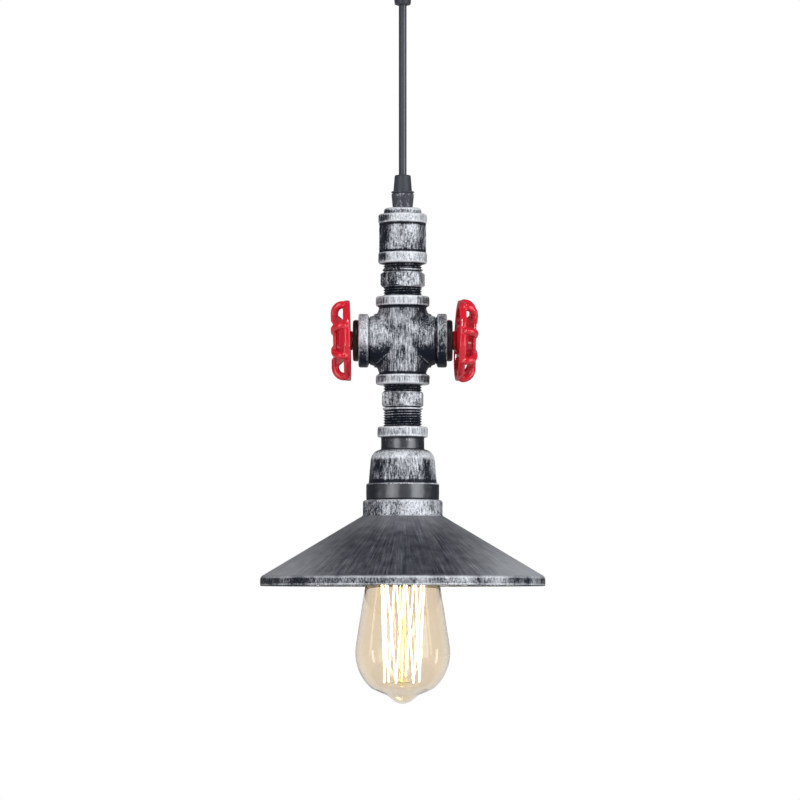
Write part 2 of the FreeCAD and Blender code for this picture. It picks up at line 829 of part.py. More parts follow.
def handwheel():
    hub = spun((0, -wheel_hub_back), (wheel_hub_radius, -wheel_hub_back),
               (wheel_hub_radius, wheel_hub_front, edge_round), (0, wheel_hub_front))
    spokes = around(wheel_spoke(), wheel_lobes, lobe_step / 2)
    wheel = fused([wheel_dome().cut(wheel_valleys()), hub] + spokes + wheel_beads())
    wheel = wheel.cut(around(wheel_window(), wheel_lobes))
    wheel = wheel.cut(rod(wheel_screw_radius + turning_play, -wheel_hub_back, wheel_hub_front))
    return moved(wheel, z=wheel_back)


# Shade

shade_hole = holder_radius + thread_play


def shade():
    slope = shade_cone_height / (shade_radius - shade_neck_radius)
    drop = shade_sheet * math.sqrt(1 + slope ** 2)
    inner_rim = shade_cone_foot + slope * shade_sheet - drop
    inner_neck = shade_neck_foot + slope * shade_sheet - drop
    rim_bore = shade_radius - shade_sheet
    neck_bore = shade_neck_radius - shade_sheet
    hem = shade_sheet / 3
    top = bell_foot
    return spun((shade_hole, top), (shade_neck_radius, top, 2 * shade_sheet),
                (shade_neck_radius, shade_neck_foot, shade_sheet),
                (shade_radius, shade_cone_foot, shade_sheet), (shade_radius, shade_foot, hem),
                (rim_bore, shade_foot, hem), (rim_bore, inner_rim), (neck_bore, inner_neck),
                (neck_bore, top - shade_sheet, shade_sheet), (shade_hole, top - shade_sheet))


# Lampholder and what carries it

nut_seat = ledge_top + bridge_thickness + tag_thickness
tag_ear = (gland_nut_flats / 2 + pipe_bore) / 2
hanger_top = nut_seat + gland_nut_height + gland_spare_thread


def bridge_washer():
    return ring(socket_radius - 2 * thread_play, gland_radius + thread_play,
                ledge_top, ledge_top + bridge_thickness)


def earth_tag():
    low = ledge_top + bridge_thickness
    disc = ring(gland_nut_flats / 2, gland_radius + thread_play, low, nut_seat)
    ear = box((-tag_width / 2, gland_nut_flats / 2 - tag_thickness, low),
              (tag_width / 2, tag_ear + core_radius / 2, nut_seat))
    return disc.fuse(ear).removeSplitter()


def hanger_nut():
    return hexagon(gland_nut_flats, nut_seat, nut_seat + gland_nut_height, 0, gland_radius + thread_play)


def hanger_tube():
    return ring(gland_radius, hanger_bore, holder_cap_top + thread_play, hanger_top)


def lampholder_cap():
    neck_bore = gland_radius + thread_play
    low = skirt_shoulder + thread_play
    ceiling = holder_cap_top - holder_wall
    return spun((neck_bore, holder_top), (holder_neck_radius, holder_top, edge_round),
                (holder_neck_radius, holder_cap_top, edge_round),
                (holder_cap_radius, holder_cap_top, holder_cap_round), (holder_cap_radius, low),
                (holder_cap_bore, low), (holder_cap_bore, ceiling, holder_cap_round - holder_wall),
                (neck_bore, ceiling))


def lampholder_insert():
    disc = rod(insert_radius, insert_foot, insert_top)
    hole = rod(holder_screw_radius + thread_play, insert_foot, insert_top)
    holes = [moved(hole, x=side * holder_screw_place)
             for side in (-1, 1)]
    return disc.cut(holes)


def lampholder_screws():
    screw = pan_screw(holder_screw_radius, insert_thickness / 2, holder_screw_radius)
    return Part.Compound([moved(screw, x=side * holder_screw_place, z=insert_top) for side in (-1, 1)])


def lampholder_contact():
    low = bulb_top + end_play
    return spun((0, insert_foot), (contact_radius, insert_foot),
                (contact_radius, low, edge_round), (0, low))


skirt_foot = bulb_top - bulb_cap_length
shell_radius = holder_thread_radius + shell_wall


def lampholder_shell():
    return ring(shell_radius, holder_thread_radius, skirt_foot + shell_lift, insert_foot)


def lampholder_skirt():
    """Threaded sleeve that screws into the cap, holds the insert and carries the shade ring."""
    bore = shell_radius + thread_play
    collar = holder_cap_bore - thread_play
    seat = insert_radius + thread_play
    thread_top = bell_foot - shade_sheet
    thread = thread_corners(holder_radius, skirt_thread_depth, skirt_thread_pitch, thread_top, skirt_foot)
    return spun((seat, insert_top), (collar, insert_top), (collar, skirt_shoulder),
                (holder_radius, skirt_shoulder), (holder_radius, thread_top), *thread,
                (bore, skirt_foot), (bore, insert_foot), (seat, insert_foot))


def shade_ring():
    high = bell_foot - shade_sheet
    low = high - shade_ring_height
    body = spun((holder_radius + thread_play, high), (shade_ring_radius, high, edge_round),
                (shade_ring_radius, low, edge_round), (holder_radius + thread_play, low))
    notch = box((shade_ring_radius - shade_ring_notch_depth, -shade_ring_notch / 2, low),
                (shade_ring_radius + shade_ring_notch_depth, shade_ring_notch / 2, high))
    return body.cut(around(notch, shade_ring_notches))


# Wiring inside the pipes

cores_start = hanger_top + core_bend + core_radius


def inner_cord():
    return rod(cord_radius, cores_start, lamp_mouth - dome_gap - cable_play)


def inner_cores():
    """Two cores to the lampholder's screws and the earth core to its tag."""
    terminal = insert_top + holder_screw_radius
    low = terminal + core_bend
    high = low + holder_screw_place - core_offset
    cores = [bent_wire([(side * core_offset, 0, cores_start), (side * core_offset, 0, high),
                        (side * holder_screw_place, 0, low), (side * holder_screw_place, 0, terminal)],
                       core_radius, core_bend)
             for side in (-1, 1)]
    cores.append(bent_wire([(0, earth_core_offset, cores_start),
                            (0, earth_core_offset, cores_start - core_radius),
                            (0, tag_ear, hanger_top + core_radius / 2), (0, tag_ear, nut_seat)],
                           core_radius, core_radius))
    return Part.Compound(cores)


# Bulb

bulb_neck_foot = bulb_top - bulb_cap_length
bulb_neck_top = bulb_neck_foot + bulb_neck_seat
waist = bulb_top - bulb_waist_drop
cage_top = bulb_top - cage_top_drop
cage_foot = bulb_top - cage_foot_drop
press_foot = bulb_neck_foot - stem_press_drop


def bulb_contact():
    low = bulb_top - bulb_contact_height
    return spun((0, bulb_top), (bulb_contact_radius, bulb_top, edge_round),
                (bulb_contact_radius, low), (0, low))


def bulb_insulator():
    high = bulb_top - bulb_contact_height
    low = high - insulator_height
    return spun((0, high), (bulb_contact_radius + edge_round, high),
                (bulb_cap_radius - bulb_thread_depth, low), (0, low))


def bulb_cap():
    high = bulb_top - bulb_contact_height - insulator_height
    root = bulb_cap_radius - bulb_thread_depth
    inside = bulb_neck_radius + thread_play
    skirt = bulb_neck_foot + bulb_thread_pitch
    thread = thread_corners(bulb_cap_radius, bulb_thread_depth, bulb_thread_pitch, high, skirt)
    return spun((inside, high), *thread, (root, bulb_neck_foot), (inside, bulb_neck_foot))


def glass_outline(inset):
    """Edges down the glass from its neck to its tip, moved inwards by the inset."""
    flank = math.radians(bulb_flank_angle)
    curve = bulb_radius - inset
    flank_foot = (curve * math.cos(flank), waist + curve * math.sin(flank))
    shoulder = bulb_top - bulb_shoulder_drop
    shoulder_radius = flank_foot[0] - (shoulder - flank_foot[1]) * math.tan(flank)
    base_angle = math.acos(bulb_base_radius / bulb_radius)
    base = (curve * math.cos(base_angle), waist - curve * math.sin(base_angle))
    middle_angle = (base_angle - flank) / 2
    middle = place(curve * math.cos(middle_angle), waist - curve * math.sin(middle_angle))
    neck = bulb_neck_radius - inset
    low = bulb_tip + inset
    upper = rounded_edges([(neck, bulb_neck_top),
                           (neck, bulb_neck_foot - bulb_flare_drop, bulb_flare_round),
                           (shoulder_radius, shoulder, bulb_shoulder_round), flank_foot], closed=False)
    round_part = Part.Arc(place(*flank_foot), middle, place(*base)).toShape()
    tip_edge = bulb_tip_radius - inset / 2
    lower = rounded_edges([base, (tip_edge, low + bulb_tip_height, bulb_tip_round),
                           (tip_edge / 2, low, bulb_tip_round), (0, low)], closed=False)
    return upper + [round_part] + lower


def bulb_glass():
    rim = Part.LineSegment(place(bulb_neck_radius, bulb_neck_top),
                           place(bulb_neck_radius - glass_wall, bulb_neck_top)).toShape()
    tip = Part.LineSegment(place(0, bulb_tip), place(0, bulb_tip + glass_wall)).toShape()
    outline = glass_outline(0) + glass_outline(glass_wall) + [rim, tip]
    wire = Part.Wire(Part.sortEdges(outline)[0])
    return Part.Face(wire).revolve(ORIGIN, UP, 360)


def bulb_stem():
    """Glass foot that closes the neck, with the rod that carries the filament's supports."""
    rim = bulb_neck_radius - glass_wall - thread_play
    button = stem_button_radius
    return spun((0, bulb_neck_top), (rim, bulb_neck_top), (rim, bulb_neck_top - glass_wall, glass_wall / 2),
                (stem_press_radius, press_foot + stem_press_radius, stem_press_radius),
                (stem_press_radius, press_foot, edge_round), (stem_radius, press_foot),
                (stem_radius, cage_top + button),
                (button, cage_top + button, edge_round), (button, cage_top - button, edge_round),
                (stem_radius, cage_top - button), (stem_radius, cage_foot + button),
                (button, cage_foot + button, edge_round), (button, cage_foot - button, edge_round),
                (0, cage_foot - button))


def cage_corner(i):
    """Place where the filament turns: even corners are at the cage's top, odd ones at its foot."""
    angle = math.radians(360.0 * i / (cage_strands + 1))
    radius = cage_foot_radius if i % 2 else cage_radius
    height = cage_foot if i % 2 else cage_top
    return FreeCAD.Vector(radius * math.cos(angle), radius * math.sin(angle), height)


def straight_wire(start, end, radius):
    return Part.makeCylinder(radius, (end - start).Length, start, end - start)


def bulb_filament():
    corners = [cage_corner(i) for i in range(cage_strands + 1)]
    pieces = [Part.makeSphere(filament_radius, corner) for corner in corners]
    pieces += [straight_wire(corners[i], corners[i + 1], filament_radius) for i in range(cage_strands)]
    return fused(pieces)


def bulb_supports():
    """Hooks from the stem's buttons to each turn of the filament but its two ends."""
    wires = []
    for i in range(1, cage_strands):
        corner = cage_corner(i)
        level = place(0, corner.z)
        outward = (corner - level).normalize()
        start = level + outward * (stem_button_radius + thread_play)
        end = corner - outward * (filament_radius + thread_play)
        wires.append(straight_wire(start, end, support_radius))
    return Part.Compound(wires)


def bulb_leads():
    """Two wires from the stem's press to the filament's ends."""
    wires = []
    for i in (0, cage_strands):
        corner = cage_corner(i)
        outward = FreeCAD.Vector(corner.x, corner.y, 0).normalize()
        side = outward * (stem_press_radius - lead_radius * 2)
        end = corner - outward * (filament_radius + thread_play)
        wires.append(bent_wire([(side.x, side.y, press_foot - thread_play),
                                (side.x, side.y, press_foot - 2 * stem_press_radius),
                                (end.x, end.y, end.z)], lead_radius, stem_press_radius / 2))
    return Part.Compound(wires)


# Everything, by name

def pieces():
    return {
        "ceiling_bracket": ceiling_bracket(),
        "canopy": canopy(),
        "canopy_screws": canopy_screws(),
        "terminal_block": terminal_block(),
        "terminal_screws": terminal_screws(),
        "block_screws": block_screws(),
        "earth_screw": earth_screw(),
        "ceiling_grip_body": from_ceiling_mouth(grip_body(canopy_wall)),
        "ceiling_grip_cap": from_ceiling_mouth(grip_cap()),
        "ceiling_grip_clamp": from_ceiling_mouth(grip_clamp()),
        "ceiling_grip_nut": from_ceiling_mouth(grip_nut(canopy_wall)),
        "supply_cord": supply_cord(),
        "supply_cores": supply_cores(),
        "cord_upper": cord_upper(),
        "cord_lower": cord_lower(),
        "lamp_grip_cap": from_lamp_mouth(grip_cap()),
        "lamp_grip_body": from_lamp_mouth(grip_body(plug_rise)),
        "lamp_grip_clamp": from_lamp_mouth(grip_clamp()),
        "lamp_grip_nut": from_lamp_mouth(grip_nut(plug_rise)),
        "top_plug": top_plug(),
        "pipe_coupling": pipe_coupling(),
        "upper_nipple": upper_nipple(),
        "pipe_cross": pipe_cross(),
        "lower_nipple": lower_nipple(),
        "bell_reducer": bell_reducer(),
        "left_plug": on_arm(side_plug(), -1),
        "right_plug": on_arm(side_plug(), 1),
        "wheel_screws": Part.Compound([on_arm(wheel_screw(), side) for side in (-1, 1)]),
        "wheel_washers": Part.Compound([on_arm(wheel_washer(), side) for side in (-1, 1)]),
        "left_handwheel": on_arm(turned(handwheel(), (0, 0, 1), 90), -1),
        "right_handwheel": on_arm(turned(handwheel(), (0, 0, 1), 90 + right_wheel_turn), 1),
        "bridge_washer": bridge_washer(),
        "hanger_tube": hanger_tube(),
        "hanger_nut": hanger_nut(),
        "earth_tag": earth_tag(),
        "lampholder_cap": lampholder_cap(),
        "lampholder_insert": lampholder_insert(),
        "lampholder_shell": lampholder_shell(),
        "lampholder_contact": lampholder_contact(),
        "lampholder_screws": lampholder_screws(),
        "lampholder_skirt": lampholder_skirt(),
        "shade_ring": shade_ring(),
        "shade": shade(),
        "inner_cord": inner_cord(),
        "inner_cores": inner_cores(),
        "bulb_contact": bulb_contact(),
        "bulb_insulator": bulb_insulator(),
        "bulb_cap": bulb_cap(),
        "bulb_glass": bulb_glass(),
        "bulb_stem": bulb_stem(),
        "bulb_leads": bulb_leads(),
        "bulb_supports": bulb_supports(),
        "bulb_filament": bulb_filament(),
    }


os.makedirs("parts", exist_ok=True)
for name, shape in pieces().items():
    shape.exportStep("parts/" + name + ".step")
    state = "valid" if shape.isValid() else "NOT VALID"
    print(f"{name:20s} {len(shape.Solids)} solids {shape.Volume:10.1f} mm3 {state}")

free_cord = cord_upper().Volume + cord_lower().Volume
print(f"free cord: volume {free_cord:.0f} mm3, section times length "
      f"{math.pi * cord_radius ** 2 * cord_free_length:.0f} mm3")
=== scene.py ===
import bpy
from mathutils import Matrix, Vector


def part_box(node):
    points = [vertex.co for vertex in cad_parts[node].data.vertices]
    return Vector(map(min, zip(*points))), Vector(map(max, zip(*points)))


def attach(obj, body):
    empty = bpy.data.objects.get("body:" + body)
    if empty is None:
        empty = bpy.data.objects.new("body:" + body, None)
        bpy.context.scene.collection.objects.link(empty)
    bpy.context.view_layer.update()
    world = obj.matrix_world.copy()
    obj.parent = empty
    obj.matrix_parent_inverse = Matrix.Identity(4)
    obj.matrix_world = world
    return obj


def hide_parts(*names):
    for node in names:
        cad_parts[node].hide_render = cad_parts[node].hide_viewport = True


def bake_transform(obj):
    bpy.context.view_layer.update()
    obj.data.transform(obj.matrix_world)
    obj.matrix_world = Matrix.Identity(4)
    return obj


bl_info = {
    "name": "Pipe Fitting Pendant Lamp",
    "version": (1, 0, 0),
    "blender": (4, 5, 0),
    "location": "View3D > Sidebar > Pendant Lamp",
    "description": "Dresses the measured frame of a pendant lamp made of pipe fittings",
    "category": "Object",
}

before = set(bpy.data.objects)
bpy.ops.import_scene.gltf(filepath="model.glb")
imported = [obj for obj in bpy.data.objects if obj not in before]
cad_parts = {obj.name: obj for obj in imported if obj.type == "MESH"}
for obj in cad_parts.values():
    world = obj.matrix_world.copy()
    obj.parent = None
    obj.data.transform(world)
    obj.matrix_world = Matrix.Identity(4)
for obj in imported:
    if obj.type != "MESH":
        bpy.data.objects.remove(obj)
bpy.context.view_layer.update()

import functools
import math

import bmesh
import bpy
from bpy.props import FloatProperty, FloatVectorProperty, IntProperty
from mathutils import Matrix, Vector, noise

MM = 0.001
AXIS = Vector((0.0, 0.0, 1.0))
ORIGIN = Vector((0.0, 0.0, 0.0))
FULL_TURN = 2 * math.pi
WELD = 1e-6
FINE_STEPS = 128
ARC_SEGMENTS = 5
SHARP_ANGLE = math.radians(38)
DAYLIGHT = (0.93, 0.965, 1.0)


# Sizes and colours that a user would change

def length(name, description, millimetres):
    return FloatProperty(name=name, description=description, default=millimetres * MM, unit="LENGTH",
                         precision=5)


def angle(name, description, degrees):
    return FloatProperty(name=name, description=description, default=math.radians(degrees), subtype="ANGLE")


def amount(name, description, value):
    return FloatProperty(name=name, description=description, default=value, soft_min=-1.0, soft_max=1.0)


def light_level(name, description, value):
    return FloatProperty(name=name, description=description + "; white paper is 1", default=value, min=0.0)


def colour(name, description, red, green, blue):
    return FloatVectorProperty(name=name, description=description, default=(red, green, blue), min=0.0,
                               max=1.0, subtype="COLOR")


class CordSizes(bpy.types.PropertyGroup):
    """The cord and its grips."""

    free_length: length("Free length", "Cord between the mouths of its two grips", 121.0)
    dome_inset: length("End overlap", "How far the cord reaches into the lamp's grip", 1.4)
    bend_start: length("Bend start", "Below the ceiling grip's mouth, where the cord starts to bend", 7.0)
    bend_end: length("Bend end", "Below the ceiling grip's mouth, where the cord's bend ends", 19.0)
    lip: length("Grip lip", "Height of the lip under the grip's cap", 0.9)
    groove: length("Grip groove", "Height of the groove under the lip", 0.8)
    groove_depth: length("Grip groove depth", "Depth of that groove", 0.8)
    waist_drop: length("Grip waist", "From the cap to where the grip's body starts to narrow", 3.2)
    cone_drop: length("Grip cone", "From the cap to the end of the grip's narrowing body", 12.0)
    cone_radius: length("Grip cone radius", "Radius at the end of the narrowing body", 7.0)
    sleeve_radius: length("Grip sleeve", "Radius of the sleeve inside the cap", 4.3)
    thread_radius: length("Grip thread", "Radius of the grip's threaded end", 5.0)


class ColumnSizes(bpy.types.PropertyGroup):
    """The column of pipe fittings."""

    band_radius: length("Coupling band radius", "Radius of the coupling's bands", 17.15)
    band_height: length("Coupling band height", "Height of the coupling's upper band", 6.4)
    low_band_height: length("Coupling low band height", "Height of the coupling's lower band", 7.8)
    body_radius: length("Coupling radius", "Radius of the coupling between its bands", 15.5)
    rib_reach: length("Rib reach", "How far the coupling's ribs stand from the axis", 16.55)
    rib_width: length("Rib width", "Width of the coupling's two ribs", 4.0)
    thread_radius: length("Thread radius", "Crest radius of the pipe thread", 13.5)
    thread_depth: length("Thread depth", "From crest to root", 1.2)
    thread_pitch: length("Thread pitch", "Rise of the thread in one turn", 1.814)
    bore: length("Nipple bore", "Bore radius of the nipples", 9.5)
    flats: length("Hexagon", "Across the flats of the nipples' hexagons", 28.0)
    upper_gap: length("Upper gap", "Thread between the coupling and the upper hexagon", 5.9)
    upper_height: length("Upper hexagon height", "Height of the upper hexagon", 10.8)
    upper_turn: angle("Upper hexagon turn", "Turn of the upper hexagon about the lamp's axis", 73.8)
    lower_gap: length("Lower gap", "Thread between the cross and the lower hexagon", 5.1)
    lower_height: length("Lower hexagon height", "Height of the lower hexagon", 10.4)
    lower_turn: angle("Lower hexagon turn", "Turn of the lower hexagon about the lamp's axis", 85.5)
    face_inset: length("Face inset", "How far inside the flats the hexagons' end faces stop", 0.45)
    turned_slope: angle("Turned slope", "Slope to which the hexagons' corners are turned off", 32.0)
    ring_radius: length("Nipple ring radius", "Turned ring beside each hexagon", 14.1)
    ring_height: length("Nipple ring height", "Height of that ring", 1.1)
    ring_groove: length("Nipple ring groove", "Between the ring and its hexagon", 0.9)
    cross_band: length("Cross band", "Length of the bands at the cross's ends", 7.0)
    cross_swell: length("Cross swell", "How much paint and casting thicken the cross", 0.5)
    arm_swell: length("Arm swell", "How much thicker the cross's arms are between their bands", 1.3)
    fillet_swell: length("Fillet swell", "How much fuller the cross's inner corners are", 2.0)
    casting_round: length("Casting rounding", "Size of the smallest edge that casting keeps", 0.45)


class BellSizes(bpy.types.PropertyGroup):
    """The bell-shaped reducer."""

    band_radius: length("Band radius", "Radius of the band at the bell's top", 17.75)
    band_height: length("Band height", "Height of that band", 7.2)
    neck_radius: length("Neck radius", "Radius of the neck below the band", 15.15)
    neck_height: length("Neck height", "Height of the neck", 8.5)
    shoulder_height: length("Shoulder height", "Height over which the neck widens inside", 5.6)
    ledge_radius: length("Ledge radius", "Radius of the bell half way down its shoulder", 19.5)
    ledge_drop: length("Ledge drop", "From the neck's foot to half way down the shoulder", 1.6)
    top_radius: length("Bell radius", "Radius of the bell under its shoulder", 22.2)
    top_drop: length("Shoulder drop", "From the neck's foot to the shoulder's end", 5.2)
    foot_radius: length("Bell foot radius", "Radius of the bell above its rim", 24.0)
    rim_height: length("Rim height", "Height of the rim", 11.6)
    skirt_wall: length("Rim wall", "Thickness of the casting in its rim", 4.48)
    bend: length("Bend", "Rounding of the shoulder", 4.6)


class WheelSizes(bpy.types.PropertyGroup):
    """The handwheels and how they stand on their screws."""

    right_yaw: angle("Right wheel yaw", "The right wheel leans so that its back turns to the front", 3.6)
    right_roll: angle("Right wheel roll", "The right wheel's top leans outwards", 1.7)
    left_roll: angle("Left wheel roll", "The left wheel's top leans outwards", 1.07)
    hub_back: length("Hub back", "How far a wheel's hub stands out behind its rim", 2.85)
    hub_radius: length("Hub radius", "Just outside a wheel's hub", 7.2)
    hub_front: length("Hub front", "From the rim's back to the hub's front", 6.0)
    rim_radius: length("Rim radius", "Outer radius of the rim with its paint", 28.4)
    rim_width: length("Rim width", "Width of the rim along the arm", 5.0)
    rim_wall: length("Rim wall", "Thickness of the rim", 2.6)
    eye_radius: length("Eye radius", "Inner radius of the ring at the front", 14.6)
    ring_radius: length("Ring radius", "Outer radius of the ring at the front", 21.0)
    ring_low: length("Ring back", "From the rim's back to the front ring's back", 9.7)
    ring_high: length("Ring front", "From the rim's back to the front ring's face", 12.1)
    bars: IntProperty(name="Bars", description="Number of arched bars", default=8, min=3, max=12)
    bar: length("Bar", "Radius of the arched bars", 2.7)
    bar_front: length("Bar front", "From the rim's back to the front of the bars", 13.7)
    bar_bend: length("Bar bend", "Bend of the bars from the rim to the front", 6.8)
    bar_end: length("Bar end", "Radius at which the bars end on the front ring", 15.5)
    bar_rise: length("Bar rise", "How far the bars stand out from the rim", 1.8)
    rise_round: length("Rise rounding", "Rounding of a bar where it has left the rim", 1.5)
    front_corner: length("Rim corner", "Rounding of the rim's outer front corner", 2.4)
    corner: length("Corner", "Rounding of the wheel's other corners", 0.8)
    dish_foot: length("Dish foot", "Radius of the dish where it leaves the hub", 9.8)
    dish_wall: length("Dish wall", "Thickness of the dish between the hub and the front ring", 2.2)
    left_turn: angle("Left wheel turn", "How far the left wheel was turned when it stopped", -4.3)
    right_turn: angle("Right wheel turn", "How far the right wheel was turned when it stopped", 13.0)
    left_inset: length("Left inset", "How much nearer to the lamp the left wheel's rim sits", 1.4)
    lean_start: length("Lean start", "Radius inside which a leaning wheel keeps to its screw", 7.0)
    lean_end: length("Lean end", "Radius outside which a wheel leans fully", 15.0)


class ShadeSizes(bpy.types.PropertyGroup):
    """The spun shade."""

    neck_radius: length("Neck radius", "Radius of the shade's neck", 28.0)
    neck_height: length("Neck height", "Height of the shade's neck", 11.0)
    cone_height: length("Cone height", "Height of the shade's cone", 42.9)
    sheet: length("Sheet", "Thickness of the sheet", 1.0)
    hole: length("Hole", "Radius of the hole for the lampholder", 19.55)


class BulbSizes(bpy.types.PropertyGroup):
    """The bulb's glass."""

    neck_radius: length("Neck radius", "Radius of the neck in the cap", 11.9)
    flare_drop: length("Flare drop", "From the neck's top to where the glass widens", 13.0)
    flare_round: length("Flare rounding", "Rounding where the glass widens", 11.0)
    shoulder_drop: length("Shoulder drop", "From the neck's top to the shoulder", 37.0)
    shoulder_round: length("Shoulder rounding", "Rounding of the shoulder", 33.0)
    waist_drop: length("Waist drop", "From the neck's top to the middle of the round part", 89.2)
    flank: angle("Flank", "Slope of the glass between shoulder and round part", 8.9)
    base_radius: length("Base radius", "Where the round part meets the tip's flat", 21.5)
    base_round: length("Base rounding", "Rounding where the round part meets the tip's flat", 7.5)
    tip_radius: length("Tip radius", "Where the tip starts", 10.8)
    tip_height: length("Tip height", "Height of the tip", 5.8)
    tip_round: length("Tip rounding", "Rounding where the tip starts", 8.0)
    tip_end_round: length("Tip end rounding", "Rounding of the tip's end", 9.0)
    wall: length("Glass wall", "Thickness of the glass", 0.9)
    glow_swell: length("Glow swell", "How much thicker the strands look where they glow most", 1.1)
    glow_start: length("Glow start", "Only strands further out than this swell", 4.0)


class SilverPaint(bpy.types.PropertyGroup):
    """How much silver the dry brush left. At 0 half of a surface is covered, at -0.3 next to nothing."""

    grip: amount("Grips", "Silver on the cord grips' bodies", -0.24)
    plug_plate: amount("Top plug", "Silver on the plug in the coupling's top", 0.04)
    coupling_band: amount("Coupling bands", "Silver on the coupling's bands", 0.27)
    coupling_body: amount("Coupling body", "Silver on the coupling between its bands", 0.10)
    thread: amount("Threads", "Silver in the threads", -0.40)
    cross_band: amount("Cross bands", "Silver on the cross's upper and lower bands", 0.22)
    arm_band: amount("Arm bands", "Silver on the bands at the cross's arms", 0.05)
    cross_body: amount("Cross body", "Silver on the cross between its bands", 0.04)
    bell_band: amount("Bell band", "Silver on the bell's band", 0.26)
    bell_body: amount("Bell body", "Silver on the bell between neck and rim", -0.01)
    shade_neck: amount("Shade neck", "Silver on the shade's neck, above that of its cone", 0.20)
    shade_cone: amount("Shade cone", "Silver on the middle of the shade's cone", -0.16)
    worn_edge: amount("Worn edges", "More silver along the bands' edges", 0.24)


class LampColours(bpy.types.PropertyGroup):
    """Colours of the lamp's finishes."""

    enamel_black: colour("Black enamel", "Paint under the silver", 0.008, 0.011, 0.020)
    brushed_silver: colour("Brushed silver", "Silver paint dragged over the black", 0.61, 0.625, 0.66)
    bright_silver: colour("Bright silver", "Silver paint where it lies thickly", 0.88, 0.90, 0.93)
    grip_grey: colour("Grip grey", "Bodies of the cord grips", 0.060, 0.062, 0.074)
    plug_black: colour("Plug black", "Plugs in the cross's arms", 0.010, 0.010, 0.011)
    slate: colour("Slate", "Caps of the cord grips", 0.045, 0.050, 0.064)
    cord_black: colour("Cord black", "Sheath of the cord", 0.003, 0.003, 0.005)
    # Painted sheen: the colour that stands for the light on the cord's right side.
    cord_sheen: colour("Cord sheen", "Sheath of the cord where the light brushes it", 0.065, 0.062, 0.085)
    enamel_red: colour("Red enamel", "Handwheels", 0.80, 0.016, 0.034)
    amber: colour("Amber", "Glass of the bulb", 0.880, 0.797, 0.680)
    # Painted reflection: the paler tint of the bulb's glass where it's seen edge-on.
    amber_edge_sheen: colour("Pale amber", "Edges of the bulb's glass", 0.905, 0.860, 0.795)
    # Painted glow: the clear glass foot is tinted yellow for the filament's light in it.
    clear: colour("Clear glass", "Glass foot inside the bulb", 0.99, 0.94, 0.62)
    glow: colour("Glow", "Light of the filament", 1.0, 0.86, 0.58)
    zinc: colour("Zinc", "Plated steel", 0.62, 0.62, 0.63)
    brass: colour("Brass", "Contacts and screws", 0.80, 0.60, 0.28)
    cream: colour("Cream", "Terminal block", 0.80, 0.76, 0.64)
    porcelain: colour("Porcelain", "Insert of the lampholder", 0.86, 0.85, 0.80)
    holder_black: colour("Holder black", "Lampholder", 0.015, 0.015, 0.016)
    solder: colour("Solder", "Contact of the bulb", 0.45, 0.45, 0.46)


class StageSettings(bpy.types.PropertyGroup):
    """Camera and light."""

    distance: FloatProperty(name="Camera distance", description="From the lamp's axis", default=2.7,
                            unit="LENGTH")
    aside: length("Camera aside", "How far the camera stands to the left of the axis", 1.9)
    eye_level: length("Eye level", "Height of the camera", -480.0)
    aim: length("Aim", "Height on the lamp's axis at the picture's middle", -333.4)
    lens: FloatProperty(name="Lens", description="Focal length in millimetres", default=173.0)
    softbox_distance: FloatProperty(name="Light distance", description="From the middle of the lamp",
                                    default=1.7, unit="LENGTH")
    left_softbox: light_level("Left softbox", "Brightness", 2.25)
    right_softbox: light_level("Right softbox", "Brightness", 2.25)
    strips: light_level("Side strips", "Brightness", 3.5)
    top_strip: light_level("Top strip", "Brightness", 26.0)
    fill: light_level("Fill", "Brightness of the room's own light", 0.45)
    gloss_fill: light_level("Gloss fill", "Brightness of the room in reflections", 0.05)
    backdrop: light_level("Backdrop", "Brightness of the backdrop in reflections", 0.18)
    floor_drop: FloatProperty(name="Floor", description="How far the floor lies below the ceiling",
                              default=3.5, unit="LENGTH")


GROUPS = {
    "lamp_cord": CordSizes,
    "lamp_column": ColumnSizes,
    "lamp_bell": BellSizes,
    "lamp_wheels": WheelSizes,
    "lamp_shade": ShadeSizes,
    "lamp_bulb": BulbSizes,
    "lamp_silver": SilverPaint,
    "lamp_colours": LampColours,
    "lamp_stage": StageSettings,
}


def settings(group):
    return getattr(bpy.context.scene, group)


# Measures of the frame

@functools.cache
def corners(node):
    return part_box(node)


def foot(node):
    return corners(node)[0].z


def top(node):
    return corners(node)[1].z


def reach(node):
    return corners(node)[1].x


def middle(node):
    return (foot(node) + top(node)) / 2


def clamped(value):
    return min(max(value, 0.0), 1.0)


def smooth(share):
    return share * share * (3 - 2 * share)


# Shapes

def outline(places, closed=True, longest=None):
    """Edges in the plane of X and Z. A place is (radius, height) or (radius, height, rounding)."""
    shape = bmesh.new()
    spots = [Vector((place[0], 0.0, place[1])) for place in places]
    verts = [shape.verts.new(spot) for spot in spots]
    count = len(verts)
    for i in range(count if closed else count - 1):
        shape.edges.new((verts[i], verts[(i + 1) % count]))
    for i, place in enumerate(places):
        if len(place) == 2:
            continue
        back = spots[i - 1] - spots[i]
        ahead = spots[(i + 1) % count] - spots[i]
        setback = place[2] / math.tan(back.angle(ahead) / 2)
        bmesh.ops.bevel(shape, geom=[verts[i]], offset=setback, offset_type="OFFSET", affect="VERTICES",
                        segments=ARC_SEGMENTS, profile=0.5, material=-1)
    if longest:
        for edge in shape.edges[:]:
            cuts = int(edge.calc_length() / longest)
            if cuts:
                bmesh.ops.subdivide_edges(shape, edges=[edge], cuts=cuts)
    return shape


def turn_round(shape, steps=FINE_STEPS, first=None, dvec=ORIGIN, merge=True):
    """Spins an outline about the lamp's axis."""
    geometry = first or shape.verts[:] + shape.edges[:]
    bmesh.ops.spin(shape, geom=geometry, cent=ORIGIN, axis=AXIS, dvec=dvec, angle=FULL_TURN, steps=steps,
                   use_merge=merge)
    bmesh.ops.remove_doubles(shape, verts=shape.verts, dist=WELD)
    bmesh.ops.recalc_face_normals(shape, faces=shape.faces)
    return shape


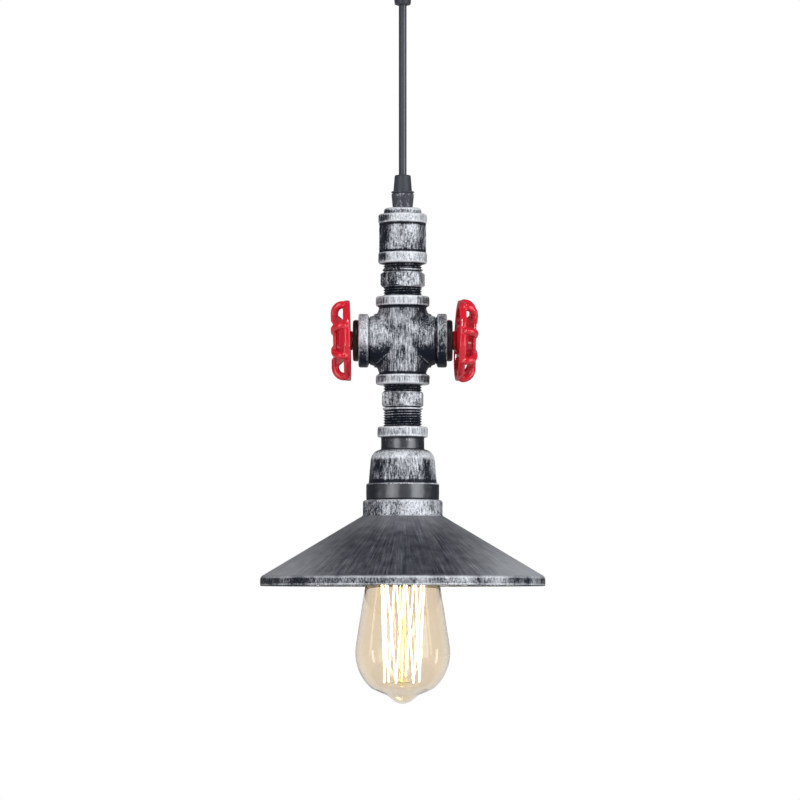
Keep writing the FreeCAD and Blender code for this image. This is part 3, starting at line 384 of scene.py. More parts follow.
def spun(*places, closed=True, longest=None, steps=FINE_STEPS):
    return turn_round(outline(places, closed, longest), steps)


def mesh_object(name, shape):
    """Object with the mesh of a bmesh, which is used up."""
    mesh = bpy.data.meshes.new(name)
    shape.to_mesh(mesh)
    shape.free()
    made = bpy.data.objects.new(name, mesh)
    bpy.context.scene.collection.objects.link(made)
    return made


def discard(made):
    mesh = made.data
    bpy.data.objects.remove(made)
    bpy.data.meshes.remove(mesh)


def evaluated(made):
    """The bmesh of an object with its modifiers applied; the object is used up."""
    bpy.context.view_layer.update()
    depsgraph = bpy.context.evaluated_depsgraph_get()
    mesh = bpy.data.meshes.new_from_object(made.evaluated_get(depsgraph))
    shape = bmesh.new()
    shape.from_mesh(mesh)
    bpy.data.meshes.remove(mesh)
    discard(made)
    return shape


def combined(first, second, operation):
    """Boolean of two closed shapes."""
    body = mesh_object("body", first)
    tool = mesh_object("tool", second)
    modifier = body.modifiers.new("combine", "BOOLEAN")
    modifier.operation = operation
    modifier.solver = "EXACT"
    modifier.object = tool
    shape = evaluated(body)
    discard(tool)
    return shape


def as_cast(shape, voxel, rounds=2, factor=0.5):
    """Melts a shape's pieces and edges together, as casting and its paint do."""
    body = mesh_object("casting", shape)
    modifier = body.modifiers.new("melt", "REMESH")
    modifier.mode = "VOXEL"
    modifier.voxel_size = voxel
    shape = evaluated(body)
    for _ in range(rounds):
        bmesh.ops.smooth_vert(shape, verts=shape.verts, factor=factor, use_axis_x=True, use_axis_y=True,
                              use_axis_z=True)
    return shape


def roughened(shape, depth, grain):
    """Moves the surface in and out a little, as sand casting leaves it."""
    shape.normal_update()
    for vert in shape.verts:
        vert.co += vert.normal * depth * noise.noise(vert.co / grain)
    return shape


def block(low, high):
    shape = bmesh.new()
    bmesh.ops.create_cube(shape, size=1.0)
    low = Vector(low)
    high = Vector(high)
    bmesh.ops.scale(shape, vec=high - low, verts=shape.verts)
    bmesh.ops.translate(shape, vec=(low + high) / 2, verts=shape.verts)
    return shape


def with_shape(shape, other):
    """Adds a second shape to a first, which it then shares a mesh with."""
    mesh = bpy.data.meshes.new("part")
    other.to_mesh(mesh)
    other.free()
    shape.from_mesh(mesh)
    bpy.data.meshes.remove(mesh)
    return shape


def copy_of_node(node):
    shape = bmesh.new()
    shape.from_mesh(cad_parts[node].data)
    bmesh.ops.remove_doubles(shape, verts=shape.verts, dist=WELD)
    return shape


def piece(name, shape, finish, body, slot, *replaced, sharp=SHARP_ANGLE):
    """Finished object that rides on a body and stands for CAD nodes."""
    made = mesh_object(name, shape)
    made.data.shade_smooth()
    made.data.set_sharp_from_angle(angle=sharp)
    made.data.materials.append(finish)
    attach(made, body)
    if replaced:
        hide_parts(*replaced)
    return made


# Materials

class Channel:
    """An output of a shader node. Arithmetic on it adds Math nodes."""

    def __init__(self, finish, socket):
        self.finish = finish
        self.socket = socket

    def math(self, operation, *values):
        return self.finish.node("ShaderNodeMath", {"operation": operation}, values)

    def __add__(self, other):
        return self.math("ADD", self, other)

    def __sub__(self, other):
        return self.math("SUBTRACT", self, other)

    def __rsub__(self, other):
        return self.math("SUBTRACT", other, self)

    def __mul__(self, other):
        return self.math("MULTIPLY", self, other)

    def __truediv__(self, other):
        return self.math("DIVIDE", self, other)

    def __abs__(self):
        return self.math("ABSOLUTE", self)

    __radd__ = __add__
    __rmul__ = __mul__


def socket_of(sockets, key):
    if isinstance(key, int):
        return sockets[key]
    for socket in sockets:
        if socket.identifier == key:
            return socket
    return sockets[key]


class Finish:
    """A material being made."""

    def __init__(self, name, world=None):
        self.material = world or bpy.data.materials.new(name)
        self.material.use_nodes = True
        self.tree = self.material.node_tree
        self.tree.nodes.clear()

    def node(self, kind, settings=None, inputs=None, output=0):
        made = self.tree.nodes.new(kind)
        for key, value in (settings or {}).items():
            setattr(made, key, value)
        pairs = inputs.items() if isinstance(inputs, dict) else enumerate(inputs or ())
        for key, value in pairs:
            socket = socket_of(made.inputs, key)
            if isinstance(value, Channel):
                self.tree.links.new(value.socket, socket)
            else:
                socket.default_value = value
        return Channel(self, socket_of(made.outputs, output))

    @functools.cached_property
    def spot(self):
        return self.node("ShaderNodeTexCoord", output="Object")

    @functools.cached_property
    def facing(self):
        return self.node("ShaderNodeTexCoord", output="Normal")

    def part(self, vector, name):
        return self.node("ShaderNodeSeparateXYZ", inputs=[vector], output=name)

    @functools.cached_property
    def x(self):
        return self.part(self.spot, "X")

    @functools.cached_property
    def y(self):
        return self.part(self.spot, "Y")

    @functools.cached_property
    def z(self):
        return self.part(self.spot, "Z")

    def vector(self, operation, *values, output=0):
        return self.node("ShaderNodeVectorMath", {"operation": operation}, values, output)

    @functools.cached_property
    def radius(self):
        """Distance from the lamp's axis."""
        return self.vector("LENGTH", self.vector("MULTIPLY", self.spot, (1, 1, 0)), output="Value")

    def grain(self, vector, size, detail=2.0, roughness=0.5):
        """Noise whose marks are about this many metres across."""
        inputs = {"Vector": vector, "Scale": 1 / size, "Detail": detail, "Roughness": roughness}
        return self.node("ShaderNodeTexNoise", inputs=inputs)

    def step(self, value, low, high):
        """0 below low, 1 above high, smooth between."""
        return self.node("ShaderNodeMapRange", {"interpolation_type": "SMOOTHSTEP"},
                         {"Value": value, "From Min": low, "From Max": high})

    def colours(self, factor, first, second):
        first, second = (value if isinstance(value, Channel) else (*value, 1.0)
                         for value in (first, second))
        return self.node("ShaderNodeMix", {"data_type": "RGBA"},
                         {"Factor_Float": factor, "A_Color": first, "B_Color": second}, "Result_Color")

    def bump(self, height, depth, strength=1.0):
        return self.node("ShaderNodeBump",
                         inputs={"Height": height, "Distance": depth, "Strength": strength})

    def surface(self, **inputs):
        """Ends the material in one Principled shader; an input's name has _ for each space."""
        values = {key.replace("_", " "): value for key, value in inputs.items()}
        for key, value in values.items():
            if not isinstance(value, Channel) and hasattr(value, "__len__"):
                values[key] = (*value, 1.0)
        self.end("ShaderNodeOutputMaterial", self.node("ShaderNodeBsdfPrincipled", inputs=values))
        return self.material

    def end(self, kind, shader):
        made = self.tree.nodes.new(kind)
        self.tree.links.new(shader.socket, made.inputs["Surface"])

    def light_path(self, kind):
        return self.node("ShaderNodeLightPath", output=kind)

    def seen_white(self):
        """1 for what the camera sees straight or through glass."""
        straight = self.light_path("Is Camera Ray")
        return self.math("MAXIMUM", straight, self.light_path("Is Transmission Ray"))

    def math(self, operation, *values):
        return self.node("ShaderNodeMath", {"operation": operation}, values)


def drag_along_axis(finish, stretch):
    """Coordinates in which brush strokes along the lamp's axis are round marks."""
    return finish.vector("MULTIPLY", finish.spot, (1, 1, 1 / stretch))


def drag_along_shade(finish, stretch):
    """Coordinates in which strokes down the shade's cone are round marks; neck and rim have short ones."""
    neck, _, rim = shade_zones(finish)
    outward = finish.vector("NORMALIZE", finish.vector("MULTIPLY", finish.spot, (1, 1, 0)))
    mid_cone = 60 * MM
    around = finish.vector("MULTIPLY", outward, (mid_cone, mid_cone, 0))
    along = finish.node("ShaderNodeCombineXYZ", inputs={"Z": finish.radius / stretch})
    short = finish.vector("MULTIPLY", finish.spot, (1, 1, 0.4))
    cone = finish.vector("ADD", around, along)
    return finish.node("ShaderNodeMix", {"data_type": "VECTOR"},
                       {"Factor_Float": neck + rim, "A_Vector": cone, "B_Vector": short}, "Result_Vector")


# Levels of paint at which silver starts to show, covers the enamel, starts to lie thickly and does so fully
BARE, COVERED, THIN, THICK = -0.27, 0.34, 0.12, 0.60


def dry_brushed(name, cover, drag=drag_along_axis, stroke=1.3 * MM, stretch=3.5, liveliness=1.0, base=None,
                gloss=None, gloss_roughness=0.26, speckling=0.8):
    """Dark enamel with silver dragged over it. cover(finish) gives how much silver a spot holds.

    liveliness is how strongly strokes, speckles and patches show, as a number or as a function of the finish;
    gloss(finish) gives where clear varnish lies.
    """
    colours = settings("lamp_colours")
    finish = Finish(name)
    strokes = finish.grain(drag(finish, stretch), stroke, 3.0, 0.75)
    speckles = finish.grain(finish.spot, 1.0 * MM, 2.0, 0.7)
    patches = finish.grain(finish.spot, 8 * MM, 2.0, 0.5)
    marks = (strokes - 0.5) * 1.9 + (speckles - 0.5) * speckling + (patches - 0.5) * 0.9
    if callable(liveliness):
        liveliness = liveliness(finish)
    level = marks * liveliness + cover(finish)
    silver = finish.step(level, BARE, COVERED)
    thick = finish.step(level, THIN, THICK)
    tint = finish.colours(silver, base or colours.enamel_black, colours.brushed_silver)
    tint = finish.colours(thick, tint, colours.bright_silver)
    return finish.surface(Base_Color=tint, Metallic=silver * 0.4, Roughness=0.38 + silver * 0.10,
                          Specular_IOR_Level=0.2, Coat_Weight=gloss(finish) if gloss else 0.0,
                          Coat_IOR=2.3, Coat_Roughness=gloss_roughness,
                          Normal=finish.bump(marks, 0.16 * MM, 0.6))


def near(finish, value, place, width):
    """1 where a value is within a width of a place."""
    return 1 - finish.step(abs(value - place), 0.3 * width, width)


def near_any(finish, value, places, width):
    """1 where a value is within a width of one of several places."""
    return sum(near(finish, value, place, width) for place in places)


def facing_aside(finish, start, end):
    """0 on surfaces that face the front or back, 1 on those that face the lamp's left or right."""
    return finish.step(abs(finish.part(finish.facing, "X")), start, end)


def shaded_side(finish, depth):
    """Painted shade: less silver on surfaces that face the lamp's left."""
    left = 1 - finish.step(finish.part(finish.facing, "X"), -0.85, -0.45)
    return left * depth


def coupling_cover(finish):
    """Bright bands with worn edges and painted shade on their left; a body with painted shade towards both
    sides and in the creases beside the bands.
    """
    sizes = settings("lamp_column")
    silver = settings("lamp_silver")
    low, high = foot("pipe_coupling"), top("pipe_coupling")
    low_edge, high_edge = low + sizes.low_band_height, high - sizes.band_height
    band = finish.step(finish.radius, sizes.body_radius + 0.3 * MM, sizes.band_radius - 0.4 * MM)
    # Creases beside the bands: bare where the brush misses them, and darker still as painted shade.
    creases = near_any(finish, finish.z, (low_edge + 0.5 * MM, high_edge - 0.5 * MM), 1.7 * MM)
    edges = near_any(finish, finish.z, (low + 0.8 * MM, low_edge - 0.6 * MM, high_edge + 0.6 * MM,
                                        high - 0.7 * MM), 1.1 * MM)
    # Painted shade: the body loses silver towards its left and right sides, more on the left.
    left = finish.step(finish.x, -6.5 * MM, -13.0 * MM)
    right = finish.step(finish.x, 9.0 * MM, 13.0 * MM)
    body = silver.coupling_body - creases * 0.5 - left * 0.40 - right * 0.26
    # Painted shade: the bands lose silver on their left-facing side.
    bands = silver.coupling_band - shaded_side(finish, 0.50) + edges * 0.22
    return band * bands + (1 - band) * body


def nipple_cover(finish):
    """Silver on the hexagons, most on their corners and, as a painted highlight, on the side facing the
    lamp's right; and on the threads' crests.
    """
    sizes = settings("lamp_column")
    hexagon = finish.step(finish.radius, sizes.thread_radius + 0.1 * MM, sizes.thread_radius + 0.3 * MM)
    crest = finish.step(finish.radius, sizes.thread_radius - 0.4 * MM, sizes.thread_radius)
    # Painted highlight: more silver on the hexagon faces that turn to the lamp's right.
    lit_side = finish.step(finish.part(finish.facing, "X"), -0.3, 0.1)
    lower = 1 - finish.step(finish.z, foot("pipe_cross"), top("pipe_cross"))
    corner = finish.step(finish.radius, sizes.flats / 2 + 1.2 * MM, sizes.flats / 2 + 1.8 * MM)
    high = foot("pipe_coupling") - sizes.upper_gap
    low = foot("pipe_cross") - sizes.lower_gap
    edges = near_any(finish, finish.z, (high, high - sizes.upper_height, low, low - sizes.lower_height),
                     1.0 * MM)
    worn = near(finish, finish.z, low - sizes.lower_height - 4 * MM, 5 * MM)
    flats = 0.02 + lit_side * (0.22 - lower * 0.10) + lower * 0.12 + edges * 0.16
    return (hexagon * flats + crest * (0.22 + worn * 0.35) + corner * 0.12
            + settings("lamp_silver").thread)


def cross_cover(finish):
    """Bright upright bands; painted shade on band sides, body undersides, inner corners, creases and upright
    sides; less silver on the right arm.
    """
    sizes = settings("lamp_column")
    silver = settings("lamp_silver")
    end = (top("pipe_cross") - foot("pipe_cross")) / 2
    edge = end - sizes.cross_band
    along_axis = abs(finish.z - middle("pipe_cross"))
    along_arms = abs(finish.x)
    upright_band = finish.step(along_axis, edge - 0.2 * MM, edge + 0.6 * MM)
    arm_band = finish.step(along_arms, edge - 0.2 * MM, edge + 0.6 * MM)
    edges = near_any(finish, along_axis, (end - 0.7 * MM, edge + 0.7 * MM), 1.1 * MM)
    arm_edges = near_any(finish, along_arms, (end - 0.4 * MM, edge + 0.7 * MM), 0.9 * MM)
    # Painted shade in the creases beside the bands.
    crease_shade = near(finish, along_axis, edge - 0.6 * MM, 1.8 * MM)
    crease_shade += near(finish, along_arms, edge - 0.6 * MM, 1.6 * MM) * 0.35
    left_arm = finish.step(finish.x, -8 * MM, -14 * MM)
    right_arm = finish.step(finish.x, 17 * MM, 21 * MM)
    # Painted shade on the surfaces that face down.
    under = 1 - finish.step(finish.part(finish.facing, "Z"), -0.95, 0.15)
    # Painted shade in the four inner corners between the arms and the upright.
    fillet = finish.step(along_arms, 8 * MM, 11.5 * MM) * (1 - finish.step(along_arms, 17 * MM, 21 * MM))
    fillet *= finish.step(along_axis, 4 * MM, 11 * MM)
    # Painted shade on the upright's sides, which turn away from the light.
    sides = (1 - left_arm) * (1 - finish.step(along_arms, 15 * MM, 17 * MM))
    sides *= facing_aside(finish, 0.55, 0.85)
    # Painted shade on the bands' sides, most on those that face the lamp's right.
    right_face_shade = finish.step(finish.part(finish.facing, "X"), 0.5, 0.85)
    band_side_shade = facing_aside(finish, 0.40, 0.80)
    body = (silver.cross_body + left_arm * 0.10 - right_arm * 0.10 - under * 0.60 - crease_shade * 0.45
            - fillet * 0.16 - sides * 0.28)
    bands = silver.cross_band - right_face_shade * 0.20 - band_side_shade * 0.20 + edges * silver.worn_edge
    return (upright_band * bands + arm_band * silver.arm_band + arm_edges * 0.22
            + (1 - upright_band) * body)


def bell_zones(finish):
    """Shares of the bell's band, of its glossy neck and of its glossy rim."""
    sizes = settings("lamp_bell")
    neck_top = top("bell_reducer") - sizes.band_height
    neck_foot = neck_top - sizes.neck_height
    rim_top = foot("bell_reducer") + sizes.rim_height
    band = finish.step(finish.z, neck_top - 0.2 * MM, neck_top + 0.2 * MM)
    neck = (1 - band) * finish.step(finish.z, neck_foot - 0.8 * MM, neck_foot - 0.1 * MM)
    rim = 1 - finish.step(finish.z, rim_top - 1.2 * MM, rim_top - 0.4 * MM)
    return band, neck, rim


def bell_gloss(finish):
    """Varnish on neck and rim, thin to the sides, none in the creases and at the rim's lower edge."""
    sizes = settings("lamp_bell")
    _, neck, rim = bell_zones(finish)
    neck_top = top("bell_reducer") - sizes.band_height
    creases = near_any(finish, finish.z, (neck_top - 0.6 * MM, neck_top - sizes.neck_height - 0.8 * MM,
                                          foot("bell_reducer") + 0.2 * MM), 1.3 * MM)
    return (neck + rim) * (1 - creases * 0.9) * (1 - facing_aside(finish, 0.35, 0.90) * 0.85)


def bell_cover(finish):
    """Bright band, bare black neck and rim with a worn lip; painted highlight on the shoulder, painted shade
    down both sides and above the rim, painted reflection at the right edge.
    """
    sizes = settings("lamp_bell")
    silver = settings("lamp_silver")
    band, neck, rim = bell_zones(finish)
    high = top("bell_reducer")
    rim_top = foot("bell_reducer") + sizes.rim_height
    neck_top = high - sizes.band_height
    neck_foot = neck_top - sizes.neck_height
    lip = near(finish, finish.z, rim_top - 0.4 * MM, 0.9 * MM)
    # Painted shade in the crease above the rim.
    crease_shade = near(finish, finish.z, rim_top + 1.0 * MM, 2.2 * MM)
    chips = near(finish, finish.z, neck_top - 2.2 * MM, 1.6 * MM)
    # Painted highlight: more silver on the shoulder, which faces up into the light.
    shoulder = near(finish, finish.z, neck_foot - 4.4 * MM, 4.0 * MM)
    # Painted shade down both sides of the body, where it turns away from the light.
    right_side_shade = near(finish, finish.x, 17.2 * MM, 3.4 * MM)
    left_side_shade = near(finish, finish.x, -16.4 * MM, 5.0 * MM)
    side_shade = right_side_shade + left_side_shade * 0.9
    # Painted reflection: a lighter strip along the right edge; painted shade along the left edge.
    right_strip = finish.step(finish.x, 19.6 * MM, 20.6 * MM)
    left_strip = finish.step(finish.x, -19.0 * MM, -21.0 * MM)
    edge_light_and_shade = right_strip - left_strip * 0.9
    edges = near_any(finish, finish.z, (high - 0.7 * MM, neck_top + 0.6 * MM), 1.1 * MM)
    body = (silver.bell_body + shoulder * 0.40 + edge_light_and_shade * 0.15 - (1 - shoulder) * side_shade * 0.30
            - crease_shade * 0.45)
    # Painted shade: the band loses silver on its left-facing side.
    bands = silver.bell_band - shaded_side(finish, 0.30) + edges * silver.worn_edge
    return (band * bands - (neck + rim) * 0.75 + lip * 0.50 + chips * neck * 0.42
            + (1 - band) * (1 - neck) * (1 - rim) * body)


def shade_zones(finish):
    """Shares of the shade's neck, of the top of its cone and of its rim."""
    sizes = settings("lamp_shade")
    low = foot("shade")
    neck_foot = top("shade") - sizes.neck_height
    neck = finish.step(finish.z, neck_foot - 1 * MM, neck_foot)
    collar = finish.step(finish.z, neck_foot - 20 * MM, neck_foot - 2 * MM)
    rim = 1 - finish.step(finish.z, low + 5.4 * MM, low + 7.4 * MM)
    return neck, collar, rim


def shade_cover(finish):
    """A dark cone, lighter to both sides and to the right as painted highlight; a silvery neck with painted
    highlight and shade; a blotchy rim with worn edges, painted highlight and shade; no silver inside.
    """
    silver = settings("lamp_silver")
    neck, collar, rim = shade_zones(finish)
    high, low = top("shade"), foot("shade")
    blotches = finish.grain(finish.spot, 22 * MM, 1.0, 0.5)
    edges = near(finish, finish.z, low + 6.0 * MM, 1.3 * MM)
    edges += near(finish, finish.z, low + 0.7 * MM, 1.1 * MM)
    neck_edge = near(finish, finish.z, high - 0.9 * MM, 1.2 * MM)
    # Painted highlight: more silver where the cone turns to the sides, and more again on its right.
    beside = finish.step(abs(finish.x), 25 * MM, 95 * MM)
    right = finish.step(finish.x, -10 * MM, 10 * MM)
    # Painted shade on the rim's left.
    left_rim_shade = finish.step(finish.x, -50 * MM, -75 * MM)
    scratches = finish.step(finish.grain(drag_along_shade(finish, 30.0), 0.8 * MM, 1.0), 0.64, 0.76)
    cone = collar * 0.09 + beside * (0.24 + right * 0.09) + scratches * 0.07
    # Painted highlight on the neck right of its middle, painted shade left of it.
    bright = near(finish, finish.x, 12 * MM, 18 * MM) * 0.16 - near(finish, finish.x, -22 * MM, 9 * MM) * 0.16
    # Painted highlight in the middle of the rim.
    lit_rim = near(finish, finish.x, 8 * MM, 60 * MM)
    inside = 1 - finish.step(finish.part(finish.facing, "Z"), -0.4, -0.1)
    worn_rim = blotches * 0.7 - 0.26 - left_rim_shade * 0.20 + lit_rim * 0.09 + edges * 0.26
    return (neck * (silver.shade_neck + neck_edge * 0.15 + bright) + (1 - neck) * (1 - rim) * cone
            + rim * worn_rim + silver.shade_cone - inside * 0.5)


def shade_liveliness(finish):
    """Calm strokes on the cone, livelier ones on the rim and most on the neck."""
    neck, _, rim = shade_zones(finish)
    return neck * 0.86 + rim * 0.48 + 0.14


def plate_cover(finish):
    """Silver on the plug in the coupling's top, most along its upper edge."""
    edge = near(finish, finish.z, top("top_plug") - 0.8 * MM, 1.3 * MM)
    # Less silver on its left-facing side is painted shade.
    return settings("lamp_silver").plug_plate + edge * 0.35 - shaded_side(finish, 0.25)


def grip_cover(finish):
    """Silver patches on the grips' bodies, none in the grooves."""
    sizes = settings("lamp_cord")
    depth = sizes.lip + sizes.groove / 2
    lamp_groove = near(finish, finish.z, foot("lamp_grip_cap") - depth, 0.6 * MM)
    ceiling_groove = near(finish, finish.z, top("ceiling_grip_cap") + depth, 0.6 * MM)
    return settings("lamp_silver").grip - (lamp_groove + ceiling_groove) * 0.6


def painted(name, base, roughness=0.4, grain=0.5 * MM, relief=0.02 * MM, **inputs):
    """Even paint or plastic whose surface is a little uneven."""
    finish = Finish(name)
    speckle = finish.grain(finish.spot, grain, 3.0, 0.55)
    patches = finish.grain(finish.spot, 9 * grain, 2.0, 0.5)
    # Random patches of a slightly darker tone of the same paint.
    darker_tone = tuple(0.82 * value for value in base)
    return finish.surface(Base_Color=finish.colours(patches, darker_tone, base),
                          Roughness=roughness - 0.06 + patches * 0.12,
                          Normal=finish.bump(speckle, relief, 0.6), **inputs)


def metal(name, base, roughness=0.32, **inputs):
    return painted(name, base, roughness, grain=0.4 * MM, relief=0.01 * MM, Metallic=1.0, **inputs)


def cord_sheath():
    """Black sheath with a painted sheen down its right side, which is also smoother."""
    colours = settings("lamp_colours")
    finish = Finish("cord_black")
    # Painted sheen: the right side of the sheath gets a lighter colour as well as a smoother surface.
    right = finish.step(finish.x, 0.9 * MM, 1.4 * MM)
    weave = finish.grain(finish.spot, 1.5 * MM, 3.0, 0.55)
    return finish.surface(Base_Color=finish.colours(right, colours.cord_black, colours.cord_sheen),
                          Roughness=0.60 - right * 0.42, IOR=1.8, Specular_IOR_Level=0.8,
                          Specular_Tint=(0.87, 0.86, 1.0), Normal=finish.bump(weave, 0.004 * MM, 0.6))


def red_enamel():
    colours = settings("lamp_colours")
    finish = Finish("red_enamel")
    pools = finish.grain(finish.spot, 3.2 * MM, 2.0, 0.45)
    orange_peel = finish.grain(finish.spot, 1.3 * MM, 1.0, 0.5)
    deep = tuple(0.8 * value for value in colours.enamel_red)
    return finish.surface(Base_Color=finish.colours(pools, deep, colours.enamel_red), Roughness=0.5,
                          Specular_IOR_Level=0.0, Coat_Weight=1.0, Coat_IOR=1.65, Coat_Roughness=0.03,
                          Normal=finish.bump(orange_peel, 0.02 * MM, 0.4))


def glass(name, tint, roughness, edge=None):
    """Glass whose colour can be paler where it's seen edge-on, as a painted reflection."""
    finish = Finish(name)
    ripple = finish.grain(finish.spot, 16 * MM, 1.0, 0.5)
    slant = finish.node("ShaderNodeLayerWeight", output="Facing")
    colour = finish.colours(finish.step(slant, 0.40, 0.62), tint, edge or tint)
    return finish.surface(Base_Color=colour, Roughness=roughness, IOR=1.45, Transmission_Weight=1.0,
                          Normal=finish.bump(ripple, 0.3 * MM, 0.4))


def glow(name, strength):
    colours = settings("lamp_colours")
    finish = Finish(name)
    low = foot("bulb_filament")
    high = top("bulb_filament")
    heat = finish.step(finish.z, low, low + 0.25 * (high - low)) * 0.3 + 0.7
    tint = finish.colours(heat, tuple(0.6 * value for value in colours.glow), colours.glow)
    return finish.surface(Base_Color=colours.glow, Roughness=0.5, Emission_Color=tint,
                          Emission_Strength=strength)


def core_plastic():
    """Brown, blue and striped cores of the cord."""
    finish = Finish("core_plastic")
    left = finish.step(finish.x, -0.4 * MM, -0.3 * MM)
    right = finish.step(finish.x, 0.3 * MM, 0.4 * MM)
    stripe = finish.step(finish.y, 1.5 * MM, 1.6 * MM)
    earth = finish.colours(stripe, (0.05, 0.25, 0.06), (0.65, 0.52, 0.04))
    base = finish.colours(right, finish.colours(left, (0.16, 0.06, 0.025), earth), (0.02, 0.09, 0.32))
    speckle = finish.grain(finish.spot, 0.4 * MM)
    return finish.surface(Base_Color=base, Roughness=0.35, Normal=finish.bump(speckle, 0.01 * MM, 0.5))


# Which finish each CAD node that still shows wears

def plain_finishes():
    colours = settings("lamp_colours")
    return {
        metal("zinc_steel", colours.zinc): ("ceiling_bracket", "ceiling_grip_nut", "lamp_grip_nut",
                                            "bridge_washer", "hanger_tube", "hanger_nut", "wheel_screws",
                                            "wheel_washers", "earth_screw"),
        painted("black_enamel", colours.enamel_black, 0.34, relief=0.03 * MM): ("canopy",),
        metal("black_screw", (0.05, 0.05, 0.05), 0.38): ("canopy_screws", "block_screws"),
        painted("cream_plastic", colours.cream, 0.5): ("terminal_block",),
        metal("brass", colours.brass, 0.28): ("terminal_screws", "earth_tag", "lampholder_shell",
                                              "lampholder_contact", "lampholder_screws", "bulb_cap"),
        painted("grip_slate", colours.slate, 0.46): ("lamp_grip_cap", "ceiling_grip_cap", "lamp_grip_clamp",
                                                     "ceiling_grip_clamp"),
        core_plastic(): ("supply_cores", "inner_cores"),
        painted("holder_black", colours.holder_black, 0.45): ("lampholder_cap", "lampholder_skirt",
                                                              "shade_ring"),
        painted("porcelain", colours.porcelain, 0.2): ("lampholder_insert",),
        metal("solder", colours.solder, 0.4): ("bulb_contact",),
        painted("black_glass", colours.plug_black, 0.12): ("bulb_insulator",),
        metal("lead_wire", (0.55, 0.50, 0.42), 0.3): ("bulb_leads", "bulb_supports"),
    }


def wear(node, material):
    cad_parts[node].material_slots[0].material = material


# The cord

def cord_route():
    """Where the cord's centreline runs: it hangs straight, and bends only just below its upper grip."""
    return [(0.0, 0.0, -0.0536), (0.0, 0.0, -0.0666), (0.0, 0.0, -0.1746)]


def route_points(route, resolution):
    """Points along the smooth curve that a cord's route controls."""
    curve = bpy.data.curves.new("route", "CURVE")
    curve.dimensions = "3D"
    spline = curve.splines.new("NURBS")
    spline.points.add(len(route) - 1)
    for point, place in zip(spline.points, route):
        point.co = (*place, 1.0)
    spline.order_u = 3
    spline.use_endpoint_u = True
    spline.resolution_u = resolution
    made = bpy.data.objects.new("route", curve)
    bpy.context.scene.collection.objects.link(made)
    bpy.context.view_layer.update()
    mesh = bpy.data.meshes.new_from_object(made.evaluated_get(bpy.context.evaluated_depsgraph_get()))
    points = [vert.co.copy() for vert in mesh.vertices]
    bpy.data.objects.remove(made)
    bpy.data.curves.remove(curve)
    bpy.data.meshes.remove(mesh)
    return points


def tube_along(points, radius, dome_steps=6, sides=48):
    """Round tube straight down along points, with a dome at its upper end."""
    start = points[0]
    rings = []
    for i in range(dome_steps):
        rise = math.pi / 2 * (dome_steps - i) / (dome_steps + 1)
        rings.append((start + AXIS * radius * math.sin(rise), radius * math.cos(rise)))
    rings += [(point, radius) for point in points]
    shape = bmesh.new()
    centre, size = rings[0]
    made = bmesh.ops.create_circle(shape, cap_ends=True, segments=sides, radius=size,
                                   matrix=Matrix.Translation(centre))
    edge_ring = [edge for edge in shape.edges if edge.verts[0] in made["verts"]]
    for centre, size in rings[1:]:
        made = bmesh.ops.extrude_edge_only(shape, edges=edge_ring)["geom"]
        verts = [item for item in made if isinstance(item, bmesh.types.BMVert)]
        edge_ring = [item for item in made if isinstance(item, bmesh.types.BMEdge)]
        for vert in verts:
            outward = Vector((vert.co.x, vert.co.y, 0.0)).normalized()
            vert.co = centre + outward * size
    bmesh.ops.contextual_create(shape, geom=edge_ring)
    bmesh.ops.recalc_face_normals(shape, faces=shape.faces)
    return shape


# Operators

class LampOperator:
    """What the operators share."""

    bl_options = {"REGISTER"}

    def execute(self, context):
        self.make()
        return {"FINISHED"}


class LAMP_OT_camera(LampOperator, bpy.types.Operator):
    """Places the camera level with the lamp's bulb, looking slightly up"""

    bl_idname = "lamp.camera"
    bl_label = "Camera"

    def make(self):
        stage = settings("lamp_stage")
        camera = bpy.data.objects.new("camera", bpy.data.cameras.new("camera"))
        bpy.context.scene.collection.objects.link(camera)
        camera.data.lens = stage.lens
        camera.data.clip_end = 100.0
        camera.location = (-stage.aside, -stage.distance, stage.eye_level)
        pitch = math.atan2(stage.aim - stage.eye_level, stage.distance)
        camera.rotation_euler = (math.pi / 2 + pitch, 0.0, 0.0)
        bpy.context.scene.camera = camera


class LAMP_OT_cord(LampOperator, bpy.types.Operator):
    """Makes the free cord between the two grips"""

    bl_idname = "lamp.cord"
    bl_label = "Cord"

    def make(self):
        sizes = settings("lamp_cord")
        radius = reach("cord_lower")
        route = cord_route()
        points = route_points(route, 64)
        shape = tube_along(points + [points[-1] - AXIS * sizes.dome_inset], radius)
        cord = mesh_object("free_cord", shape)
        cord.data.shade_smooth()
        cord.data.materials.append(cord_sheath())
        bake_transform(cord)
        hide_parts("cord_upper", "cord_lower")
        for node in ("supply_cord", "inner_cord"):
            wear(node, cord.data.materials[0])


class LAMP_OT_plain_parts(LampOperator, bpy.types.Operator):
    """Gives the parts that keep their CAD shape their finishes"""

    bl_idname = "lamp.plain_parts"
    bl_label = "Canopy, holder and small parts"

    def make(self):
        for material, nodes in plain_finishes().items():
            for node in nodes:
                wear(node, material)


